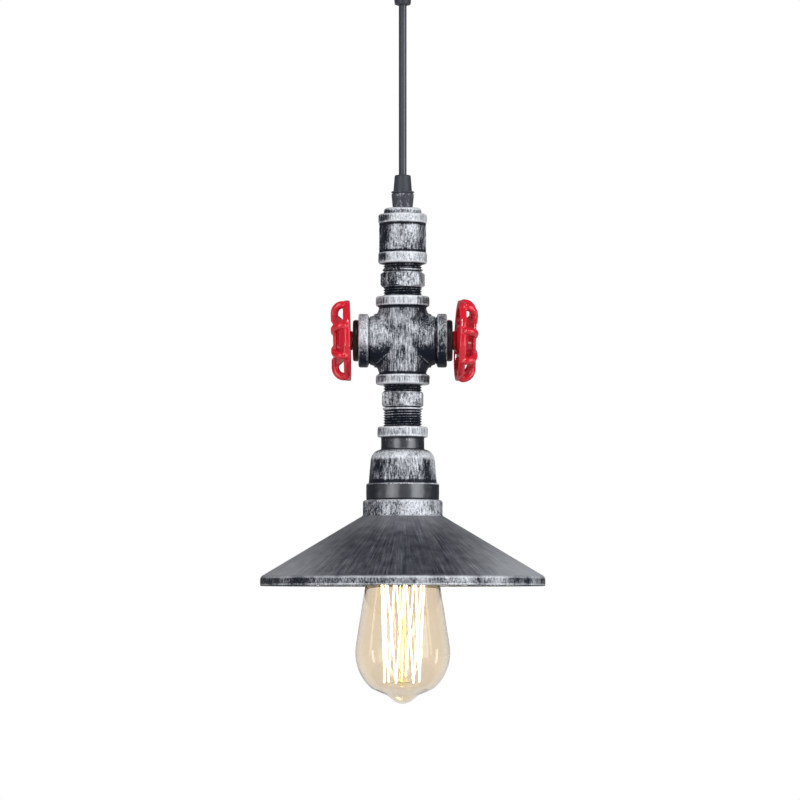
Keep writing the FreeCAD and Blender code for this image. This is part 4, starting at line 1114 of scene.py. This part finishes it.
class LAMP_OT_grips(LampOperator, bpy.types.Operator):
    """Makes the bodies of the two cord grips"""

    bl_idname = "lamp.grips"
    bl_label = "Cord grip bodies"

    def make(self):
        material = dry_brushed("grip_body_grey", grip_cover, liveliness=0.75,
                               base=settings("lamp_colours").grip_grey)
        self.grip("lamp_grip_body_cast", "lamp_grip_body", "lamp_grip_cap", -1, "lamp", material)
        self.grip("ceiling_grip_body_cast", "ceiling_grip_body", "ceiling_grip_cap", 1,
                  "ceiling_fitting", material)

    def grip(self, name, node, cap, side, body, material):
        """Grip body with a lip and a groove beside its cap; side is -1 where the body hangs below the cap."""
        sizes = settings("lamp_cord")
        seat = foot(cap) if side < 0 else top(cap)
        end = foot(node) if side < 0 else top(node)
        sleeve_end = top(node) if side < 0 else foot(node)
        collar = reach(node)
        bore = reach("inner_cord") + 0.05 * MM
        slant = 0.15 * MM
        groove_end = sizes.lip + sizes.groove
        lip_foot, groove_top, groove_foot, cone_top, waist, cone_foot = (
            seat + side * drop for drop in (sizes.lip, sizes.lip + slant, groove_end, groove_end + slant,
                                            sizes.waist_drop, sizes.cone_drop))
        shape = spun((bore, sleeve_end), (sizes.sleeve_radius, sleeve_end), (sizes.sleeve_radius, seat),
                     (collar, seat, 0.3 * MM), (collar, lip_foot, 0.2 * MM),
                     (collar - sizes.groove_depth, groove_top), (collar - sizes.groove_depth, groove_foot),
                     (collar - 0.15 * MM, cone_top, 0.2 * MM), (collar - 0.2 * MM, waist, 0.8 * MM),
                     (sizes.cone_radius, cone_foot, 0.3 * MM), (sizes.thread_radius, cone_foot),
                     (sizes.thread_radius, end), (bore, end))
        piece(name, shape, material, body, "grip_body_grey", node)


class LAMP_OT_coupling(LampOperator, bpy.types.Operator):
    """Makes the pipe coupling with its bands and ribs"""

    bl_idname = "lamp.coupling"
    bl_label = "Pipe coupling"

    def make(self):
        sizes = settings("lamp_column")
        low, high = foot("pipe_coupling"), top("pipe_coupling")
        high_edge, low_edge = high - sizes.band_height, low + sizes.low_band_height
        bore = sizes.thread_radius + 0.05 * MM
        shape = spun((bore, high), (sizes.band_radius, high, 1.3 * MM),
                     (sizes.band_radius, high_edge, 0.9 * MM), (sizes.body_radius, high_edge, 0.6 * MM),
                     (sizes.body_radius, low_edge, 0.6 * MM), (sizes.band_radius, low_edge, 0.9 * MM),
                     (sizes.band_radius, low, 1.3 * MM), (bore, low))
        for side in (-1, 1):
            inner, outer = sorted((side * (sizes.body_radius - 1 * MM), side * sizes.rib_reach))
            rib = block((inner, -sizes.rib_width / 2, low_edge - 2 * MM),
                        (outer, sizes.rib_width / 2, high_edge + 2 * MM))
            shape = with_shape(shape, rib)
        shape = roughened(as_cast(shape, sizes.casting_round), depth=0.10 * MM, grain=3 * MM)
        material = dry_brushed("brushed_black_coupling", coupling_cover, stroke=1.0 * MM, stretch=4.5,
                               liveliness=0.85, speckling=1.1)
        piece("coupling_cast", shape, material, "lamp", "brushed_black_iron", "pipe_coupling",
              sharp=math.pi)
        wear("top_plug", dry_brushed("brushed_black_plug", plate_cover, stretch=2.0, speckling=1.2))


class LAMP_OT_nipples(LampOperator, bpy.types.Operator):
    """Makes the two hexagon nipples with their wound threads"""

    bl_idname = "lamp.nipples"
    bl_label = "Hexagon nipples"

    def make(self):
        sizes = settings("lamp_column")
        material = dry_brushed("thread_black_iron", nipple_cover, stretch=2.2, liveliness=0.9, speckling=1.0)
        upper_high = foot("pipe_coupling") - sizes.upper_gap
        lower_high = foot("pipe_cross") - sizes.lower_gap
        self.nipple("upper_nipple", upper_high - sizes.upper_height, upper_high, sizes.upper_turn, 1,
                    material)
        self.nipple("lower_nipple", lower_high - sizes.lower_height, lower_high, sizes.lower_turn, -1,
                    material)

    def nipple(self, node, low, high, turn, ring_side, material):
        """Hexagon between two threads, with a turned ring and a groove on one of its sides."""
        sizes = settings("lamp_column")
        ringed, plain = (high, low) if ring_side > 0 else (low, high)
        root = sizes.thread_radius - sizes.thread_depth
        overlap = ring_side * 0.5 * MM
        groove = ringed + ring_side * sizes.ring_groove
        ring_end = groove + ring_side * sizes.ring_height
        ends = sorted((foot(node), top(node)), key=lambda height: height * ring_side)
        shape = self.hexagon(low, high, turn)
        ring = spun((sizes.bore, ringed - overlap), (root, ringed - overlap), (root, groove),
                    (sizes.ring_radius, groove, 0.3 * MM), (sizes.ring_radius, ring_end, 0.3 * MM),
                    (sizes.bore, ring_end))
        with_shape(shape, ring)
        with_shape(shape, self.thread(*sorted((ring_end - overlap, ends[1]))))
        with_shape(shape, self.thread(*sorted((ends[0], plain + overlap))))
        piece(node + "_wound", shape, material, "lamp", "thread_black_iron", node, sharp=math.radians(32))

    def thread(self, low, high):
        """Closed tube with a thread wound about it, whose crests are a little worn."""
        sizes = settings("lamp_column")
        pitch = sizes.thread_pitch
        crest = sizes.thread_radius
        root = crest - sizes.thread_depth
        steps = 72
        worn = 0.12 * MM
        turns = math.ceil((high - low) / pitch) + 2
        start = low - 1.5 * pitch
        places = []
        for i in range(turns):
            base = start + i * pitch
            places += [(root, base), (crest - worn, base + 0.38 * pitch), (crest, base + 0.46 * pitch),
                       (crest, base + 0.54 * pitch), (crest - worn, base + 0.62 * pitch)]
        places.append((root, start + turns * pitch))
        shape = turn_round(outline(places, closed=False), steps, dvec=AXIS * pitch / steps, merge=False)
        for height, side in ((low, -1), (high, 1)):
            geometry = shape.verts[:] + shape.edges[:] + shape.faces[:]
            bmesh.ops.bisect_plane(shape, geom=geometry, dist=WELD, plane_co=AXIS * height,
                                   plane_no=AXIS * side, clear_outer=True)
            rim = [edge for edge in shape.edges if edge.is_boundary
                   and abs(edge.verts[0].co.z - height) < WELD * 10
                   and abs(edge.verts[1].co.z - height) < WELD * 10]
            made = bmesh.ops.extrude_edge_only(shape, edges=rim)["geom"]
            for item in made:
                if isinstance(item, bmesh.types.BMVert):
                    outward = Vector((item.co.x, item.co.y, 0.0)).normalized()
                    item.co = outward * sizes.bore + AXIS * height
        open_edges = [edge for edge in shape.edges if edge.is_boundary]
        bmesh.ops.bridge_loops(shape, edges=open_edges)
        bmesh.ops.remove_doubles(shape, verts=shape.verts, dist=WELD)
        bmesh.ops.recalc_face_normals(shape, faces=shape.faces)
        return shape

    def hexagon(self, low, high, turn):
        """Six-sided prism with its corners turned off and a bore."""
        sizes = settings("lamp_column")
        corner = sizes.flats / math.sqrt(3)
        flat = sizes.flats / 2 - sizes.face_inset
        slope = (corner - flat) * math.tan(sizes.turned_slope)
        shape = bmesh.new()
        bmesh.ops.create_cone(shape, cap_ends=True, segments=6, radius1=corner, radius2=corner,
                              depth=high - low)
        bmesh.ops.rotate(shape, cent=ORIGIN, matrix=Matrix.Rotation(turn - math.pi / 2, 3, "Z"),
                         verts=shape.verts)
        bmesh.ops.translate(shape, vec=AXIS * (low + high) / 2, verts=shape.verts)
        upright = [edge for edge in shape.edges
                   if abs(edge.verts[0].co.z - edge.verts[1].co.z) > 1 * MM]
        bmesh.ops.bevel(shape, geom=upright, offset=0.4 * MM, offset_type="OFFSET", affect="EDGES",
                        segments=3, profile=0.5, material=-1)
        bore = sizes.bore + 0.5 * MM
        turned = spun((bore, low), (flat, low), (corner, low + slope), (corner, high - slope),
                      (flat, high), (bore, high))
        return combined(shape, turned, "INTERSECT")


class LAMP_OT_cross(LampOperator, bpy.types.Operator):
    """Makes the pipe cross as a casting"""

    bl_idname = "lamp.cross"
    bl_label = "Pipe cross"

    def make(self):
        shape = as_cast(copy_of_node("pipe_cross"), settings("lamp_column").casting_round, rounds=3)
        shape = roughened(self.swollen(shape), depth=0.14 * MM, grain=3.5 * MM)
        material = dry_brushed("brushed_black_cross", cross_cover, stroke=1.0 * MM, stretch=8.0,
                               liveliness=0.85, speckling=0.75)
        piece("cross_cast", shape, material, "lamp", "brushed_black_iron", "pipe_cross", sharp=math.pi)

    def swollen(self, shape):
        """Thickens the cross, its arms and inner corners most, and leaves its four end faces in place."""
        sizes = settings("lamp_column")
        edge = (top("pipe_cross") - foot("pipe_cross")) / 2 - sizes.cross_band
        shape.normal_update()
        for vert in shape.verts:
            along_arms = abs(vert.co.x)
            along_axis = abs(vert.co.z - middle("pipe_cross"))
            move = Vector(vert.normal)
            if along_arms > edge:
                move.x = 0.0
            if along_axis > edge:
                move.z = 0.0
            arm = sizes.arm_swell * self.arm_share(along_arms, along_axis, edge)
            corner = sizes.fillet_swell * self.corner_share(along_arms, along_axis, edge)
            vert.co += move * (sizes.cross_swell + arm + corner)
        return shape

    def arm_share(self, along_arms, along_axis, edge):
        """1 on the arms between the middle and their bands, fading out all round."""
        sideways = clamped((along_arms - along_axis) / (8 * MM) + 0.5)
        return (clamped((along_arms - 9 * MM) / (5 * MM)) * smooth(sideways)
                * clamped((edge - along_arms) / (0.8 * MM)))

    def corner_share(self, along_arms, along_axis, edge):
        """1 in the four inner corners between the arms and the upright."""
        nearness = max(1 - ((along_arms - along_axis) / (8 * MM)) ** 2, 0.0)
        nearness *= clamped((min(along_arms, along_axis) - 8 * MM) / (6 * MM))
        return nearness * nearness * clamped((edge - max(along_arms, along_axis)) / (0.8 * MM))


class LAMP_OT_bell(LampOperator, bpy.types.Operator):
    """Makes the bell-shaped reducer"""

    bl_idname = "lamp.bell"
    bl_label = "Bell reducer"

    def make(self):
        sizes = settings("lamp_bell")
        low, high = foot("bell_reducer"), top("bell_reducer")
        neck_top = high - sizes.band_height
        neck_foot = neck_top - sizes.neck_height
        shoulder = neck_foot - sizes.shoulder_height
        rim_top = low + sizes.rim_height
        rim = reach("bell_reducer")
        bore = settings("lamp_column").thread_radius + 0.05 * MM
        skirt = rim - sizes.skirt_wall
        inner = reach("lampholder_cap") + 0.3 * MM
        shape = spun((bore, high), (sizes.band_radius, high, 1.2 * MM),
                     (sizes.band_radius, neck_top, 0.9 * MM), (sizes.neck_radius, neck_top, 0.6 * MM),
                     (sizes.neck_radius, neck_foot, 0.8 * MM),
                     (sizes.ledge_radius, neck_foot - sizes.ledge_drop, sizes.bend),
                     (sizes.top_radius, neck_foot - sizes.top_drop, sizes.bend),
                     (sizes.foot_radius, rim_top, 0.6 * MM), (rim, rim_top, 1.1 * MM), (rim, low, 0.9 * MM),
                     (skirt, low), (skirt, rim_top), (inner, rim_top),
                     (inner, shoulder, sizes.bend), (bore, shoulder + 4 * MM), longest=0.8 * MM, steps=192)
        shape = roughened(shape, depth=0.13 * MM, grain=4 * MM)
        material = dry_brushed("brushed_black_bell", bell_cover, stroke=1.0 * MM, stretch=8.0,
                               gloss=bell_gloss, gloss_roughness=0.34, speckling=0.75)
        piece("bell_cast", shape, material, "lamp", "brushed_black_iron", "bell_reducer",
              sharp=math.radians(60))


class LAMP_OT_handwheels(LampOperator, bpy.types.Operator):
    """Makes the two enamelled handwheels"""

    bl_idname = "lamp.handwheels"
    bl_label = "Handwheels"

    def make(self):
        sizes = settings("lamp_wheels")
        plug_paint = painted("plug_black", settings("lamp_colours").plug_black, roughness=0.38,
                             grain=1.2 * MM, relief=0.03 * MM)
        for side in ("left", "right"):
            shape = as_cast(copy_of_node(side + "_plug"), 0.5 * MM, rounds=8)
            piece(side + "_plug_cast", shape, plug_paint, "lamp", "plug_black", side + "_plug",
                  sharp=math.pi)
        material = red_enamel()
        self.wheel("left", sizes.left_turn, -sizes.left_roll, 0.0, material)
        self.wheel("right", sizes.right_turn, sizes.right_roll, sizes.right_yaw, material)

    def wheel(self, side, turn, roll, yaw, material):
        """Rim, dish, front ring and hub with arched bars, melted together and leaning a little."""
        node = side + "_handwheel"
        parts = with_shape(self.rings(), self.bars(turn))
        shape = as_cast(with_shape(self.onto_arm(parts, node), self.hub(node)), 0.40 * MM, rounds=3)
        inset = settings("lamp_wheels").left_inset if side == "left" else 0.0
        self.lean(shape, middle(node), inset, roll, yaw)
        piece(node + "_enamelled", shape, material, side + "_wheel", "red_enamel", node, sharp=math.pi)

    def lean(self, shape, centre, inset, roll, yaw):
        """Leans a wheel on its screw and leaves its hub straight."""
        sizes = settings("lamp_wheels")
        for vert in shape.verts:
            height = vert.co.z - centre
            distance = math.hypot(vert.co.y, height)
            share = smooth(clamped((distance - sizes.lean_start) / (sizes.lean_end - sizes.lean_start)))
            vert.co.x += share * (inset + math.tan(roll) * height - math.tan(yaw) * vert.co.y)

    def onto_arm(self, shape, node):
        """Turns a shape made upwards from the rim's back so that it points out along the node's arm."""
        low, high = corners(node)
        outwards = 1 if high.x > 0 else -1
        hub = low.x if outwards > 0 else high.x
        back = Vector((hub + outwards * settings("lamp_wheels").hub_back, 0.0, middle(node)))
        bmesh.ops.rotate(shape, cent=ORIGIN, matrix=Matrix.Rotation(outwards * math.pi / 2, 3, "Y"),
                         verts=shape.verts)
        bmesh.ops.translate(shape, vec=back, verts=shape.verts)
        return shape

    def hub(self, node):
        """The hub of the CAD wheel with its bore, cut free of its spokes."""
        sizes = settings("lamp_wheels")
        core = spun((0.0, -sizes.hub_back - 1 * MM), (sizes.hub_radius, -sizes.hub_back - 1 * MM),
                    (sizes.hub_radius, sizes.hub_front), (0.0, sizes.hub_front), closed=False)
        return combined(copy_of_node(node), self.onto_arm(core, node), "INTERSECT")

    def rings(self):
        """The rim, the ring at the front and the dish that joins it to the hub."""
        sizes = settings("lamp_wheels")
        rim, inside, corner = sizes.rim_radius, sizes.rim_radius - sizes.rim_wall, sizes.corner
        shape = spun((rim, 0.0, corner), (rim, sizes.rim_width, sizes.front_corner),
                     (inside, sizes.rim_width, corner), (inside, 0.0, 0.6 * MM))
        eye, ring = sizes.eye_radius, sizes.ring_radius
        front = spun((eye, sizes.ring_low, corner), (ring, sizes.ring_low, corner),
                     (ring, sizes.ring_high, corner), (eye, sizes.ring_high, corner))
        wall, overlap = sizes.dish_wall, 1 * MM
        hub, back = sizes.hub_radius - overlap, -0.4 * MM
        mouth, mouth_height = ring - overlap, sizes.ring_low + overlap
        dish = spun((hub, back), (sizes.dish_foot, back, 1 * MM), (mouth, mouth_height),
                    (mouth - wall, mouth_height), (sizes.dish_foot - 0.6 * wall, wall, 1 * MM), (hub, wall))
        return with_shape(with_shape(shape, front), dish)

    def bars(self, turn):
        """Rows of balls that the casting melts into arched bars from the rim over the front ring."""
        sizes = settings("lamp_wheels")
        outer = sizes.rim_radius - sizes.bar + sizes.bar_rise
        front = sizes.bar_front - sizes.bar
        path = outline(((sizes.rim_radius - sizes.bar, sizes.bar),
                        (outer, sizes.rim_width - 1 * MM, sizes.rise_round),
                        (outer, front, sizes.bar_bend), (sizes.bar_end, front)),
                       closed=False, longest=0.8 * MM)
        places = [(vert.co.x, vert.co.z) for vert in path.verts]
        path.free()
        shape = bmesh.new()
        for i in range(sizes.bars):
            azimuth = FULL_TURN / sizes.bars * (i + 0.5) + turn
            for radius, height in places:
                spot = Vector((radius * math.cos(azimuth), radius * math.sin(azimuth), height))
                bmesh.ops.create_icosphere(shape, subdivisions=2, radius=sizes.bar,
                                           matrix=Matrix.Translation(spot))
        return shape


class LAMP_OT_shade(LampOperator, bpy.types.Operator):
    """Makes the spun shade"""

    bl_idname = "lamp.shade_piece"
    bl_label = "Shade"

    def make(self):
        sizes = settings("lamp_shade")
        low, high = foot("shade"), top("shade")
        rim = reach("shade")
        neck_foot = high - sizes.neck_height
        cone_foot = neck_foot - sizes.cone_height
        sheet = sizes.sheet
        slope = sizes.cone_height / (rim - sizes.neck_radius)
        drop = sheet * math.sqrt(1 + slope ** 2)
        shape = spun((sizes.hole, high), (sizes.neck_radius, high, 2 * sheet),
                     (sizes.neck_radius, neck_foot, 1.4 * sheet), (rim, cone_foot, 3.0 * sheet),
                     (rim, low, sheet / 2), (rim - sheet, low, sheet / 2),
                     (rim - sheet, cone_foot + slope * sheet - drop),
                     (sizes.neck_radius - sheet, neck_foot + slope * sheet - drop),
                     (sizes.neck_radius - sheet, high - sheet, sheet), (sizes.hole, high - sheet),
                     steps=256)
        material = dry_brushed("brushed_black_shade", shade_cover, drag_along_shade, stroke=1.1 * MM,
                               stretch=22.0, liveliness=shade_liveliness)
        piece("shade_spun", shape, material, "lamp", "brushed_black_shade", "shade")


class LAMP_OT_bulb(LampOperator, bpy.types.Operator):
    """Makes the bulb's glass and lights its filament"""

    bl_idname = "lamp.bulb_piece"
    bl_label = "Bulb"

    def make(self):
        sizes = settings("lamp_bulb")
        colours = settings("lamp_colours")
        outer = self.wall_line(0.0)
        inner = self.wall_line(sizes.wall)
        shape = with_shape(outer, inner)
        rim = [vert for vert in shape.verts if vert.co.z > top("bulb_glass") - WELD]
        shape.edges.new(rim)
        shape = turn_round(shape, FINE_STEPS)
        amber = glass("amber_glass", colours.amber, 0.02, colours.amber_edge_sheen)
        piece("bulb_glass_blown", shape, amber, "bulb", "amber_glass", "bulb_glass")
        # The stem's yellow tint is painted glow from the filament.
        wear("bulb_stem", glass("clear_glass", colours.clear, 0.05))
        piece("bulb_filament_lit", self.glowing_strands(), glow("filament_glow", strength=14.0), "bulb",
              "filament_glow", "bulb_filament")

    def glowing_strands(self):
        """The filament's strands, thicker where they glow most, as the eye sees them."""
        sizes = settings("lamp_bulb")
        brightest, fading = 0.42, 0.30
        shape = copy_of_node("bulb_filament")
        shape.normal_update()
        low, high = foot("bulb_filament"), top("bulb_filament")
        for vert in shape.verts:
            level = (vert.co.z - low) / (high - low)
            swell = max(0.0, 1 - ((level - brightest) / fading) ** 4)
            if abs(vert.co.x) > sizes.glow_start:
                vert.co += vert.normal * sizes.glow_swell * swell
        return shape

    def wall_line(self, inset):
        """Open outline down the glass from its neck to its tip, moved inwards by the inset."""
        sizes = settings("lamp_bulb")
        high = top("bulb_glass")
        low = foot("bulb_glass") + inset
        waist = high - sizes.waist_drop
        curve = reach("bulb_glass") - inset
        flank_radius = curve * math.cos(sizes.flank)
        flank_foot = waist + curve * math.sin(sizes.flank)
        shoulder = high - sizes.shoulder_drop
        shoulder_radius = flank_radius - (shoulder - flank_foot) * math.tan(sizes.flank)
        base_angle = math.acos(sizes.base_radius / reach("bulb_glass"))
        neck = sizes.neck_radius - inset
        round_steps = 24
        places = [(neck, high), (neck, high - sizes.flare_drop, sizes.flare_round),
                  (shoulder_radius, shoulder, sizes.shoulder_round)]
        for i in range(round_steps + 1):
            turn = -sizes.flank + (base_angle + sizes.flank) * i / round_steps
            places.append((curve * math.cos(turn), waist - curve * math.sin(turn)))
        places[-1] += (sizes.base_round,)
        tip = sizes.tip_radius - inset / 2
        places += [(tip, low + sizes.tip_height, sizes.tip_round), (tip * 0.35, low, sizes.tip_end_round),
                   (0.0, low)]
        return outline(places, closed=False)


class LAMP_OT_stage(LampOperator, bpy.types.Operator):
    """Lights the lamp and lays the floor"""

    bl_idname = "lamp.stage"
    bl_label = "Stage"

    def make(self):
        stage = settings("lamp_stage")
        self.softbox("left_softbox", azimuth=-33, elevation=12, width=0.80, height=1.9,
                     brightness=stage.left_softbox)
        self.softbox("right_softbox", azimuth=47, elevation=12, width=1.25, height=1.9,
                     brightness=stage.right_softbox)
        self.softbox("left_strip", azimuth=-78, elevation=-14, width=0.20, height=0.70,
                     brightness=stage.strips)
        self.softbox("right_strip", azimuth=92, elevation=-14, width=0.20, height=0.70,
                     brightness=stage.strips)
        self.softbox("top_strip", azimuth=0, elevation=48, width=0.08, height=0.60,
                     brightness=stage.top_strip)
        self.room(stage)
        self.floor(stage.floor_drop)

    def softbox(self, name, azimuth, elevation, width, height, brightness):
        """Area light that faces the lamp; azimuth is from the camera's side, to the right."""
        centre = AXIS * (foot("bulb_glass") / 2)
        data = bpy.data.lights.new(name, "AREA")
        data.shape = "RECTANGLE"
        data.size = width
        data.size_y = height
        data.energy = brightness * math.pi * width * height
        data.color = DAYLIGHT
        light = bpy.data.objects.new(name, data)
        bpy.context.scene.collection.objects.link(light)
        turn, rise = math.radians(azimuth), math.radians(elevation)
        outward = Vector((math.sin(turn) * math.cos(rise), -math.cos(turn) * math.cos(rise), math.sin(rise)))
        light.location = centre + outward * settings("lamp_stage").softbox_distance
        light.rotation_euler = outward.to_track_quat("Z", "Y").to_euler()

    def room(self, stage):
        """Even light from all round. Reflections see a dim room with a paler backdrop, the camera white."""
        world = bpy.data.worlds.new("room")
        world.use_nodes = True
        bpy.context.scene.world = world
        shades = Finish("room", world)
        way = shades.node("ShaderNodeTexCoord", output="Generated")
        behind = shades.step(shades.part(way, "Y"), 0.15, 0.6)
        behind *= 1 - shades.step(shades.part(way, "Z"), 0.45, 0.85)
        glossy = shades.light_path("Is Glossy Ray")
        reflected = behind * (stage.backdrop - stage.gloss_fill) + stage.gloss_fill
        room = glossy * reflected + (1 - glossy) * stage.fill
        seen = shades.seen_white()
        strength = seen + (1 - seen) * room
        background = shades.node("ShaderNodeBackground",
                                 inputs={"Color": (1, 1, 1, 1), "Strength": strength})
        shades.end("ShaderNodeOutputWorld", background)

    def floor(self, drop):
        """White floor that shows its shadows only faintly."""
        shape = bmesh.new()
        bmesh.ops.create_grid(shape, x_segments=1, y_segments=1, size=30.0)
        bmesh.ops.translate(shape, vec=AXIS * -drop, verts=shape.verts)
        floor = mesh_object("floor", shape)
        paint = Finish("white_floor")
        lit = paint.node("ShaderNodeBsdfDiffuse", inputs={"Color": (0.95, 0.95, 0.95, 1)})
        white = paint.node("ShaderNodeEmission", inputs={"Color": (1, 1, 1, 1)})
        share = paint.seen_white() * 0.9
        paint.end("ShaderNodeOutputMaterial", paint.node("ShaderNodeMixShader", inputs=[share, lit, white]))
        floor.data.materials.append(paint.material)


class LAMP_PT_panel(bpy.types.Panel):
    """Lists the lamp's pieces in the order of making"""

    bl_idname = "LAMP_PT_panel"
    bl_label = "Pendant Lamp"
    bl_space_type = "VIEW_3D"
    bl_region_type = "UI"
    bl_category = "Pendant Lamp"

    def draw(self, context):
        for operator in OPERATORS:
            self.layout.operator(operator.bl_idname)
        for group, kind in GROUPS.items():
            box = self.layout.box()
            for name in kind.__annotations__:
                box.prop(getattr(context.scene, group), name)


OPERATORS = (LAMP_OT_camera, LAMP_OT_cord, LAMP_OT_plain_parts, LAMP_OT_grips, LAMP_OT_coupling,
             LAMP_OT_nipples, LAMP_OT_cross, LAMP_OT_bell, LAMP_OT_handwheels, LAMP_OT_shade,
             LAMP_OT_bulb, LAMP_OT_stage)


def register():
    for kind in (*GROUPS.values(), *OPERATORS, LAMP_PT_panel):
        bpy.utils.register_class(kind)
    for name, kind in GROUPS.items():
        setattr(bpy.types.Scene, name, bpy.props.PointerProperty(type=kind))


def unregister():
    for name in GROUPS:
        delattr(bpy.types.Scene, name)
    for kind in reversed((*GROUPS.values(), *OPERATORS, LAMP_PT_panel)):
        bpy.utils.unregister_class(kind)


def main():
    register()
    bpy.context.scene.view_settings.view_transform = "Standard"
    for operator in OPERATORS:
        family, name = operator.bl_idname.split(".")
        getattr(getattr(bpy.ops, family), name)()


if __name__ == "__main__":
    main()
